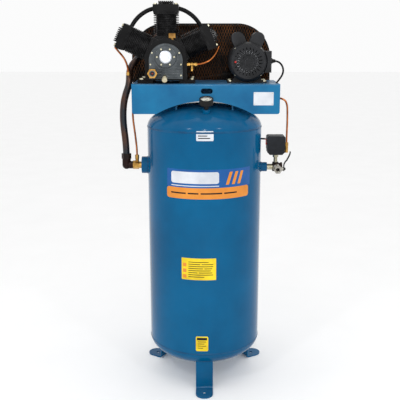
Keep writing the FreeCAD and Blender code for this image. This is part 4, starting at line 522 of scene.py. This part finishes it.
def receiver_labels():
    paint = on_tank(PAINT_LIFT)
    print_on = on_tank(PRINT_LIFT)
    left, right = -170 * MM, 221 * MM
    sticker("banner_field", [rounded_box(left, 936 * MM, right, 1016 * MM, 3 * MM)], paint, "decal_blue")
    strip = rounded_box(left - 2 * MM, 890 * MM, right - 10 * MM, 938 * MM, 12 * MM)
    sticker("banner_strip", [strip], print_on, "decal_orange")
    sticker("banner_block", [rounded_box(-148 * MM, 956 * MM, 62 * MM, 1006 * MM, 10 * MM)], print_on,
            "decal_white")
    slant = 18 * MM
    low, high, wide = 950 * MM, 1004 * MM, 14 * MM
    slashes = [[(x, low), (x + wide, low), (x + wide + slant, high), (x + slant, high)]
               for x in (92 * MM, 120 * MM, 148 * MM)]
    sticker("banner_slashes", slashes, print_on, "decal_orange")
    sticker("banner_line", [rounded_box(-148 * MM, 944 * MM, 62 * MM, 948 * MM, 1 * MM)], print_on,
            "decal_white")
    strip_widths = [[70 * MM, 46 * MM, 92 * MM, 60 * MM]]
    sticker("strip_line", bars(-150 * MM, 917 * MM, strip_widths, 9 * MM, 6 * MM, 0),
            on_tank(TOP_PRINT_LIFT), "mark_paint")

    sticker("small_label", [rounded_box(-34 * MM, 1137 * MM, 38 * MM, 1178 * MM, 4 * MM)], paint,
            "decal_white")
    sticker("small_label_rows", bars(-26 * MM, 1170 * MM, [[56 * MM], [38 * MM], [50 * MM]], 4 * MM, 4 * MM,
                                     10 * MM), print_on, "mark_paint")

    sticker("notice_field", [rounded_box(-101 * MM, 531 * MM, 51 * MM, 629 * MM, 3 * MM)], paint,
            "decal_yellow")
    rows = [[88 * MM], [52 * MM, 50 * MM], [108 * MM], [64 * MM, 34 * MM], [98 * MM], [40 * MM, 58 * MM],
            [108 * MM], [70 * MM]]
    sticker("notice_rows", bars(-70 * MM, 613 * MM, rows, 6 * MM, 3 * MM, 9.5 * MM), print_on, "mark_paint")
    squares = [rounded_box(-95 * MM, z * MM, -79 * MM, (z + 16) * MM, 2 * MM) for z in (538, 564, 590)]
    sticker("notice_squares", squares, print_on, "decal_orange")

    sticker("tag_field", [rounded_box(-38 * MM, 198 * MM, 17 * MM, 268 * MM, 6 * MM)], paint, "decal_yellow")
    sticker("tag_band", [rounded_box(-33 * MM, 250 * MM, 12 * MM, 262 * MM, 1 * MM)], print_on, "mark_paint")
    tag_widths = [[38 * MM], [30 * MM], [38 * MM], [24 * MM]]
    sticker("tag_rows", bars(-30 * MM, 244 * MM, tag_widths, 4 * MM, 3 * MM, 10 * MM), print_on, "mark_paint")
    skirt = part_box("top_plate")[0].y
    sticker("skirt_label", [rounded_box(207 * MM, 1274 * MM, 291 * MM, 1329 * MM, 2 * MM)],
            on_plane(skirt - 0.02 * MM), "decal_white", thick=0.25 * MM)


# ---------------------------------------------------------------- belt guard

SHAFT_HOLES = ((*CRANK, 34 * MM), (*MOTOR, 24 * MM))
FLANGE_WIDTH = 9 * MM
COLLAR_OUT = 5 * MM
COLLAR_IN = 2 * MM


def inside_guard(x, z, inset):
    """Whether a point lies in the guard's side view, inset from the band's outside."""
    low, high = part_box("guard_band")
    left, right = low.x + inset, high.x - inset
    bottom, top = low.z + inset, high.z - inset
    if not (left <= x <= right and bottom <= z <= top):
        return False
    big = GUARD_HIGH_CORNER - inset
    small = GUARD_LOW_CORNER - inset
    corner = big if z > top - big else small if z < bottom + small else 0
    if not corner:
        return True
    dx = max(left + corner - x, x - right + corner, 0)
    dz = z - (top - corner) if corner == big else bottom + corner - z
    return math.hypot(dx, dz) <= corner if dx > 0 else True


def expanded_metal(name, y, holes):
    """Diamond mesh: upright zigzag strands, bonded where neighbours meet, with each strand's flat tilted."""
    low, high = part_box("guard_band")
    half_short, half_long, bond = 6 * MM, 14 * MM, 3 * MM
    wide, thick, tilt = 1.9 * MM, 0.9 * MM, math.radians(24)
    points, faces = [], []

    def lay(run):
        if len(run) < 2:
            return
        first = len(points)
        for i, p in enumerate(run):
            along = (run[min(i + 1, len(run) - 1)] - run[max(i - 1, 0)]).normalized()
            side = along.cross(Vector((0, 1, 0))).normalized()
            flat = side * math.cos(tilt) + Vector((0, 1, 0)) * math.sin(tilt)
            up = along.cross(flat)
            for u, v in ((-1, -1), (1, -1), (1, 1), (-1, 1)):
                points.append(p + flat * (u * wide / 2) + up * (v * thick / 2))
        for i in range(len(run) - 1):
            a, b = first + 4 * i, first + 4 * i + 4
            for k in range(4):
                faces.append((a + k, a + (k + 1) % 4, b + (k + 1) % 4, b + k))
        faces.append((first, first + 3, first + 2, first + 1))
        faces.append(tuple(first + 4 * (len(run) - 1) + k for k in range(4)))

    columns = int((high.x - low.x) / half_short) + 1
    rows = int((high.z - low.z) / half_long) + 2
    for i in range(columns):
        run = []
        for j in range(rows):
            lean = 1 if (i + j) % 2 else -1
            x = low.x + i * half_short + lean * (half_short / 2 - 0.5 * MM)
            for dz in (-bond / 2, bond / 2):
                z = low.z + j * half_long + dz
                clear = all(math.hypot(x - hx, z - hz) > r for hx, hz, r in holes)
                if inside_guard(x, z, GUARD_SHEET) and clear:
                    run.append(Vector((x, y, z)))
                else:
                    lay(run)
                    run = []
        lay(run)
    return from_lists(name, points, faces, "guard_mesh", angle=20)


def guard_outline(inset, steps=14):
    low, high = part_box("guard_band")
    points = []
    big, small = GUARD_HIGH_CORNER - inset, GUARD_LOW_CORNER - inset
    left, right, bottom, top = low.x + inset, high.x - inset, low.z + inset, high.z - inset
    for cx, cz, r, start in ((right - small, bottom + small, small, 270), (right - big, top - big, big, 0),
                             (left + big, top - big, big, 90), (left + small, bottom + small, small, 180)):
        for i in range(steps + 1):
            turn = math.radians(start + 90 * i / steps)
            points.append((cx + r * math.cos(turn), cz + r * math.sin(turn)))
    return points


def flat_ring(name, outer, inner, y, thick, look):
    """A flat frame between two outlines of the same count, from y to y + thick."""
    points = [Vector((x, yy, z)) for yy in (y, y + thick) for line in (outer, inner) for x, z in line]
    n = len(outer)
    faces = []
    for i in range(n):
        j = (i + 1) % n
        for a, b in ((0, n), (2 * n, 3 * n), (0, 2 * n), (n, 3 * n)):
            faces.append((a + i, a + j, b + j, b + i))
    return from_lists(name, points, faces, look)


def belt_guard():
    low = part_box("guard_mesh")[0]
    lattice = expanded_metal("guard_lattice", low.y + 0.8 * MM, SHAFT_HOLES)
    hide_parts("guard_mesh")
    inner, lip = guard_outline(GUARD_SHEET), guard_outline(GUARD_SHEET + FLANGE_WIDTH)
    flat_ring("guard_flange", inner, lip, low.y + 1.6 * MM, 1.4 * MM, "guard_paint")
    for i, (x, z, r) in enumerate(SHAFT_HOLES):
        flat_ring(f"guard_collar_{i + 1}", circle(x, z, r + COLLAR_OUT), circle(x, z, r - COLLAR_IN), low.y,
                  1.5 * MM, "guard_paint")


# ---------------------------------------------------------------- pump and motor details


def circle(x, z, radius, count=48):
    return [(x + radius * math.cos(math.tau * i / count), z + radius * math.sin(math.tau * i / count))
            for i in range(count)]


def round_plate(name, x, z, radius, y, thick, look, **more):
    """A disc facing the operator, from y to y + thick, with a small chamfer round its front."""
    count = 40
    chamfer = min(0.3 * thick, 0.1 * radius)
    levels = ((y, radius - chamfer), (y + chamfer, radius), (y + thick, radius))
    points = [Vector((px, level, pz)) for level, r in levels for px, pz in circle(x, z, r, count)]
    faces = [tuple(range(count)), tuple(range(2 * count, 3 * count))]
    for row in range(2):
        for i in range(count):
            j = (i + 1) % count
            faces.append((row * count + i, row * count + j, (row + 1) * count + j, (row + 1) * count + i))
    return from_lists(name, points, faces, look, **more)


def pump_details():
    """The oil window in its hexagon."""
    x, z = CRANK[0] - 56 * MM, 1405 * MM
    floor = COVER_FACE - 10 * MM
    round_plate("oil_window", x, z, 12.6 * MM, floor - 1.2 * MM, 1.1 * MM, "oil_window")
    flat_ring("oil_window_ring", circle(x, z, 12.7 * MM), circle(x, z, 9.6 * MM), floor - 2.6 * MM, 1.2 * MM,
              "bright_steel")
    round_plate("oil_level_dot", x, z, 2.6 * MM, floor - 1.8 * MM, 0.5 * MM, "red_plastic")


def motor_details():
    """Screws that hold the front end bell, and the rivets of a blank plate on the skirt."""
    screw_circle = 76 * MM
    for i in range(4):
        turn = math.radians(45 + 90 * i)
        x, z = MOTOR[0] + screw_circle * math.cos(turn), MOTOR[1] + screw_circle * math.sin(turn)
        round_plate(f"bell_screw_{i + 1}", x, z, 3.6 * MM, BELL_FACE + 10 * MM, 9 * MM, "zinc_steel")
    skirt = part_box("top_plate")[0].y
    corners = [(x, z) for x in (212 * MM, 286 * MM) for z in (1279 * MM, 1324 * MM)]
    for i, (x, z) in enumerate(corners):
        round_plate(f"plate_rivet_{i + 1}", x, z, 1.8 * MM, skirt - 1.1 * MM, 1.0 * MM, "zinc_steel")


# ---------------------------------------------------------------- gauge


def gauge_frame():
    """The gauge's own frame: origin on the head under it, z along its stem, y up across the dial."""
    x, y = 8 * MM, -173 * MM
    foot = Matrix.Translation((x, y, head_height(math.hypot(x, y), True)))
    return foot @ Matrix.Rotation(GAUGE_TILT, 4, "X")


SCALE_START = 225
SCALE_SWEEP = 270
DIVISIONS = 60
RIM_BARS = 90
NUMBERS = 6
NUMBER_STEP = 50
TICK_END = 23.6 * MM
RIM_END = 24.1 * MM
NUMBER_CIRCLE = 15.2 * MM
DIAL_FACE = 55.05 * MM


def gauge_marks():
    """The printed scale: ticks, a rim of short bars and the numbers."""
    stand = gauge_frame()
    made = bmesh.new()

    def tick(turn, near, far, wide):
        """One printed bar of the scale, pointing at the dial's middle."""
        out = Vector((math.cos(turn), math.sin(turn), 0))
        side = Vector((-out.y, out.x, 0)) * wide / 2
        base = [out * near - side, out * far - side, out * far + side, out * near + side]
        low = [made.verts.new(stand @ (p + Vector((0, 0, DIAL_FACE)))) for p in base]
        top = [made.verts.new(stand @ (p + Vector((0, 0, DIAL_FACE + 0.15 * MM)))) for p in base]
        made.faces.new(low[::-1])
        made.faces.new(top)
        for k in range(4):
            made.faces.new((low[k], low[(k + 1) % 4], top[(k + 1) % 4], top[k]))

    for k in range(DIVISIONS + 1):
        turn = math.radians(SCALE_START - SCALE_SWEEP / DIVISIONS * k)
        major = k % 10 == 0
        start = (19.0 if major else 21.2 if k % 5 else 20.2) * MM
        tick(turn, start, TICK_END, (0.9 if major else 0.4) * MM)
    for k in range(RIM_BARS):
        turn = math.radians(SCALE_START - SCALE_SWEEP / RIM_BARS * (k + 0.5))
        tick(turn, TICK_END, RIM_END, 1.28 * MM)
    from_bmesh("dial_scale", made, "mark_paint", slot="gauge_white")
    for k in range(NUMBERS + 1):
        turn = math.radians(SCALE_START - SCALE_SWEEP / NUMBERS * k)
        letters = bpy.data.curves.new(f"dial_number_{k}", "FONT")
        letters.body = str(NUMBER_STEP * k)
        letters.size = 5.2 * MM
        letters.align_x = "CENTER"
        letters.align_y = "CENTER"
        letters.extrude = 0.07 * MM
        letters.materials.append(LOOKS["mark_paint"])
        number = bpy.data.objects.new(f"dial_number_{k}", letters)
        bpy.context.scene.collection.objects.link(number)
        spot = Vector((NUMBER_CIRCLE * math.cos(turn), NUMBER_CIRCLE * math.sin(turn),
                       DIAL_FACE + 0.08 * MM))
        number.matrix_world = stand @ Matrix.Translation(spot)
        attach(number, "frame")


# ---------------------------------------------------------------- motor lead

# the points of the route in millimetres
LEAD_ROUTE = [
    (289, -80, 1455), (305, -80, 1455), (320, -80, 1449), (331, -80, 1437), (337, -80, 1421),
    (336, -80, 1404), (329, -80, 1389), (318, -80, 1374), (307, -80, 1360), (297, -75, 1342),
    (286, -58, 1324), (272, -26, 1306), (258, 18, 1288), (243, 66, 1266), (229, 110, 1236),
    (220, 138, 1198), (217, 148, 1160), (221, 142, 1126), (232, 126, 1106), (247, 111, 1097),
    (264, 101, 1096), (280, 91, 1097), (292, 77, 1098), (299, 60, 1098), (300, 44, 1098),
]
LEAD_RADIUS = 4 * MM


def motor_lead():
    curve = bpy.data.curves.new("motor_supply_lead", "CURVE")
    curve.dimensions = "3D"
    spline = curve.splines.new("NURBS")
    spline.points.add(len(LEAD_ROUTE) - 1)
    for point, place in zip(spline.points, LEAD_ROUTE):
        point.co = (*(v * MM for v in place), 1)
    spline.order_u = 3
    spline.use_endpoint_u = True
    spline.resolution_u = 12
    curve.bevel_depth = LEAD_RADIUS
    curve.bevel_resolution = 6
    curve.use_fill_caps = True
    curve.materials.append(LOOKS["cord_rubber"])
    lead = bpy.data.objects.new("motor_supply_lead", curve)
    bpy.context.scene.collection.objects.link(lead)
    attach(lead, "frame")
    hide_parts("motor_lead")


# ---------------------------------------------------------------- stage


LENS = 60.9
SHIFT_X = -0.011
CAMERA_PLACE = (0.0, -3.0193, 1.5468)
CAMERA_DIP = 13.4
FLOOR_HALF = 30
SKY_STRENGTH = 0.97
LIGHTS = (
    # name, place, target, size, watts
    ("front_light", (0.05, -3.2, 2.2), (0, 0, 1.0), (0.10, 1.5), 24),
    ("left_light", (-1.5, -2.4, 2.9), (0, 0, 1.2), (0.14, 0.14), 10),
    ("right_light", (1.4, -2.3, 3.0), (0, 0, 1.2), (0.14, 0.14), 8),
    ("top_light", (0.2, 0.6, 3.6), (0, 0, 1.4), (1.6, 1.6), 4),
)


def stage_and_camera():
    camera = bpy.data.objects.new("camera", bpy.data.cameras.new("camera"))
    camera.data.lens = LENS
    camera.data.sensor_width = 36
    camera.data.shift_x = SHIFT_X
    camera.location = CAMERA_PLACE
    camera.rotation_euler = (math.radians(90 - CAMERA_DIP), 0, 0)
    bpy.context.scene.collection.objects.link(camera)
    bpy.context.scene.camera = camera

    floor_mesh = bpy.data.meshes.new("floor")
    corners = [(x * FLOOR_HALF, y * FLOOR_HALF, 0) for x, y in ((-1, -1), (1, -1), (1, 1), (-1, 1))]
    floor_mesh.from_pydata(corners, [], [(0, 1, 2, 3)])
    pale = Tree("pale_floor")
    pale.drive("Base Color", pale.mix(pale.span(pale.noise(3.0, 5.0), 0.3, 0.7), (0.96, 0.96, 0.96, 1),
                                      (0.94, 0.94, 0.94, 1)))
    pale.shader.inputs["Roughness"].default_value = 0.9
    floor_mesh.materials.append(pale.material)
    floor = bpy.data.objects.new("floor", floor_mesh)
    bpy.context.scene.collection.objects.link(floor)

    world = bpy.data.worlds.new("world")
    bpy.context.scene.world = world
    world.use_nodes = True
    world.node_tree.nodes["Background"].inputs["Color"].default_value = (1.0, 1.0, 1.0, 1)
    world.node_tree.nodes["Background"].inputs["Strength"].default_value = SKY_STRENGTH

    for name, place, target, size, power in LIGHTS:
        lamp = bpy.data.lights.new(name, "AREA")
        lamp.shape = "RECTANGLE"
        lamp.size, lamp.size_y = size
        lamp.energy = power
        holder = bpy.data.objects.new(name, lamp)
        holder.location = place
        holder.rotation_euler = (Vector(target) - Vector(place)).to_track_quat("-Z", "Y").to_euler()
        bpy.context.scene.collection.objects.link(holder)
    bpy.context.scene.view_settings.view_transform = "Standard"


stage_and_camera()
motor_lead()
dress_nodes()
mixed_finishes()
receiver_welds()
receiver_labels()
pump_details()
motor_details()
belt_guard()
gauge_marks()
